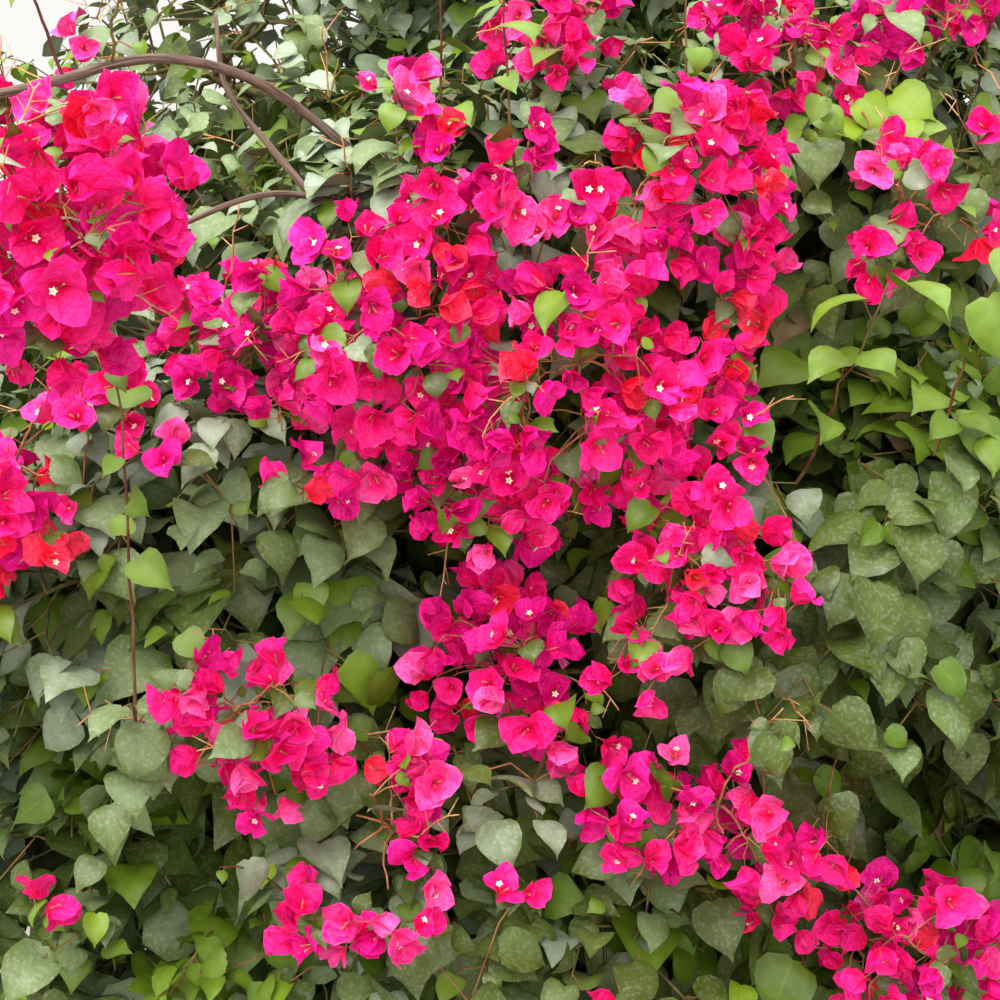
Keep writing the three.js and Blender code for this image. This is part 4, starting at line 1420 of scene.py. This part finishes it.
outer = np.flatnonzero(leafDetail < 0.075)
petiolePaths = np.stack([leaves["root"][outer], leaves["base"][outer]], 1)
petioleRadii = np.broadcast_to([0.0009, 0.0006], (len(outer), 2))
petioles = (tubePoints(petiolePaths, petioleRadii, 3).reshape(-1, 3), tubeFaces(len(outer), 2, 3)[:1])
spurBark = shootMaterial("spur_bark", (116, 110, 54), (150, 100, 58), 30.0)
addMesh("spurs", *joined([tubeMesh("spur"), petioles]), spurBark, "bark", foliageNodes)

# Bracts: three round each head, rising from its axis and opening outward.
bractShape = {
    "length": (0.88, 1.12),
    "width": (0.8, 1.02),
    "fold": (-0.5, 0.25),
    "cup": (-1.2, 0.3),
    "ripple": (0.05, 0.14),
    "phase": (0, fullTurn),
}
headHabit = {"first": (-0.1, 0.6), "opening": (0.3, 1.2), "turnScatter": 0.18, "openingScatter": 0.38}
bractGrid = bladeGrid(bractOutline, (-1, -0.5, 0, 0.5, 1))
bractDraw = np.random.default_rng(31)
headPlace, headAxis, headSize, headTone, headShade, headTurn = map(np.array, zip(*headRows))
headSide = squareTo(np.broadcast_to(vector(0.13, 0.21, 0.97), headAxis.shape), headAxis)
headOther = np.cross(headAxis, headSide)
headOpening = bractDraw.uniform(*headHabit["opening"], len(headRows))


def roundHead(chosen, turns):
    return circled(headSide[chosen], headOther[chosen], turns)


def addBracts(tone):
    chosen = np.flatnonzero(headTone == tone)
    count = len(chosen)
    blades = []
    for i in range(3):
        scatter = bractDraw.normal(0, headHabit["turnScatter"], count)
        radial = roundHead(chosen, headTurn[chosen] + i * fullTurn / 3 + scatter)
        first = bractDraw.uniform(*headHabit["first"], count)
        look = drawLook(bractShape, count, bractDraw)
        look["length"] = headSize[chosen] * look["length"]
        look["sway"] = bractDraw.normal(0, 0.1, count)
        look["firstBend"] = first
        opening = headOpening[chosen]
        look["lastBend"] = first + opening + bractDraw.normal(0, headHabit["openingScatter"], count)
        blade = bladePoints(bractGrid, headPlace[chosen] + radial * 0.0008, headAxis[chosen], radial, look)
        shade = np.clip(headShade[chosen] + bractDraw.normal(0, 0.2, count), 0, 1)
        blades.append((*blade, np.repeat(shade, len(bractGrid[0]))))
    addBlades(f"bracts_{tone}", blades, bractMaterial(tone), "bracts", blossomNodes)


for tone in bractTones:
    addBracts(tone)

# The small true flowers: slim tubes in each head, and a cream star where one is open.
flower = {
    "tubes": 2,
    "tube": 0.48,  # in shares of the bract
    "radius": 0.0011,
    "star": 0.0041,
    "open": 0.26,
    "points": 5,
    "notch": 0.6,
}


def buildFlowers():
    draw = np.random.default_rng(41)
    count = len(headRows)
    corners = flower["points"] * 2
    rim = np.arange(corners) / corners * fullTurn
    reach = np.where(np.arange(corners) % 2 == 0, 1.0, flower["notch"]) * flower["star"]
    fan = np.array([(0, 1 + k, 1 + (k + 1) % corners) for k in range(corners)])
    radii = np.broadcast_to(np.array([0.75, 1.2]) * flower["radius"], (count, 2))
    tubeParts, starParts = [], []
    for i in range(flower["tubes"]):
        turns = headTurn + i * 2.4 + draw.normal(0, 0.3, count)
        way = unit(headAxis + roundHead(np.arange(count), turns) * 0.32)
        tips = headPlace + way * flower["tube"] * headSize[:, None]
        rings = tubePoints(np.stack([headPlace, tips], 1), radii, 3)
        tubeParts.append((rings.reshape(-1, 3), tubeFaces(count, 2, 3)))
        opened = np.flatnonzero(draw.random(count) < flower["open"] / (1 + i))
        axis, middles = way[opened], tips[opened][:, None]
        side = squareTo(np.broadcast_to(vector(0.3, 0.1, 0.9), axis.shape), axis)
        ring = circled(side[:, None], np.cross(axis, side)[:, None], rim)
        rimPoints = middles + ring * reach[None, :, None] + axis[:, None] * 0.001
        points = np.concatenate([middles, rimPoints], 1)
        starParts.append((points.reshape(-1, 3), [repeated(fan, len(opened), corners + 1)]))
    stars = joined(starParts)
    starUv = np.tile(np.array([(0.5, 0)] + [(0.5, 1)] * corners), (len(stars[0]) // (corners + 1), 1))
    return joined(tubeParts), stars, starUv


flowerTubes, stars, starUv = buildFlowers()
tubeSkin = shootMaterial("flower_tube", (206, 40, 80), (206, 140, 110), 90.0)
addMesh("flower_tubes", *flowerTubes, tubeSkin, "bracts", blossomNodes)
addMesh("flower_stars", *stars, starMaterial(), "bracts", blossomNodes, starUv)
print("triangles in all:", sum(triangles.values()))


# Floor, light and camera.
studio = {
    "sky": {"colour": (1.0, 0.98, 0.95), "strength": 0.98},
    "floor": {"size": 300, "height": -0.001, "colour": (168, 163, 155)},
}
lights = {
    "key": {
        "place": (-1.8, -3.2, 4.6), "target": (0, 0, 1.0),
        "size": 3.2, "power": 315, "colour": (1.0, 0.98, 0.95),
    },
    "front": {
        "place": (0.8, -6.5, 2.6), "target": (0, 0, 1.0),
        "size": 4.0, "power": 150, "colour": (1.0, 0.99, 0.97),
    },
    "overhead": {
        "place": (0.4, -0.4, 5.0), "target": (0, 0, 0.9),
        "size": 4.0, "power": 130, "colour": (0.97, 0.98, 1.0),
    },
}
viewpoint = {"place": (0, -2.65, 1.195), "target": (0, -0.65, 1.02), "angle": 28.0}


def addFloor():
    floorPlace = (0, 0, studio["floor"]["height"])
    bpy.ops.mesh.primitive_plane_add(size=studio["floor"]["size"], location=floorPlace)
    floor = bpy.context.object
    floor.name = "studio_floor"
    sheet = Sheet("floor_pale")
    floor.data.materials.append(sheet.finish({}, fromScreen(studio["floor"]["colour"]), 0.9))


def addAimed(name, data, spot):
    # a light or camera at its place, turned to its target
    made = bpy.data.objects.new(name, data)
    made.location = spot["place"]
    way = Vector(spot["target"]) - Vector(spot["place"])
    made.rotation_euler = way.to_track_quat("-Z", "Y").to_euler()
    bpy.context.scene.collection.objects.link(made)
    return made


def addStudio():
    addFloor()
    world = bpy.data.worlds.new("studio")
    world.use_nodes = True
    background = world.node_tree.nodes["Background"]
    background.inputs[0].default_value = (*studio["sky"]["colour"], 1)
    background.inputs[1].default_value = studio["sky"]["strength"]
    bpy.context.scene.world = world
    for name, look in lights.items():
        light = bpy.data.lights.new(name, "AREA")
        light.size = look["size"]
        light.energy = look["power"]
        light.color = look["colour"]
        addAimed(name, light, look)
    bpy.context.scene.view_settings.view_transform = "Standard"


def addCamera():
    lens = bpy.data.cameras.new("camera")
    lens.angle = math.radians(viewpoint["angle"])
    bpy.context.scene.camera = addAimed("camera", lens, viewpoint)



addStudio()
addCamera()
print("studio ready")
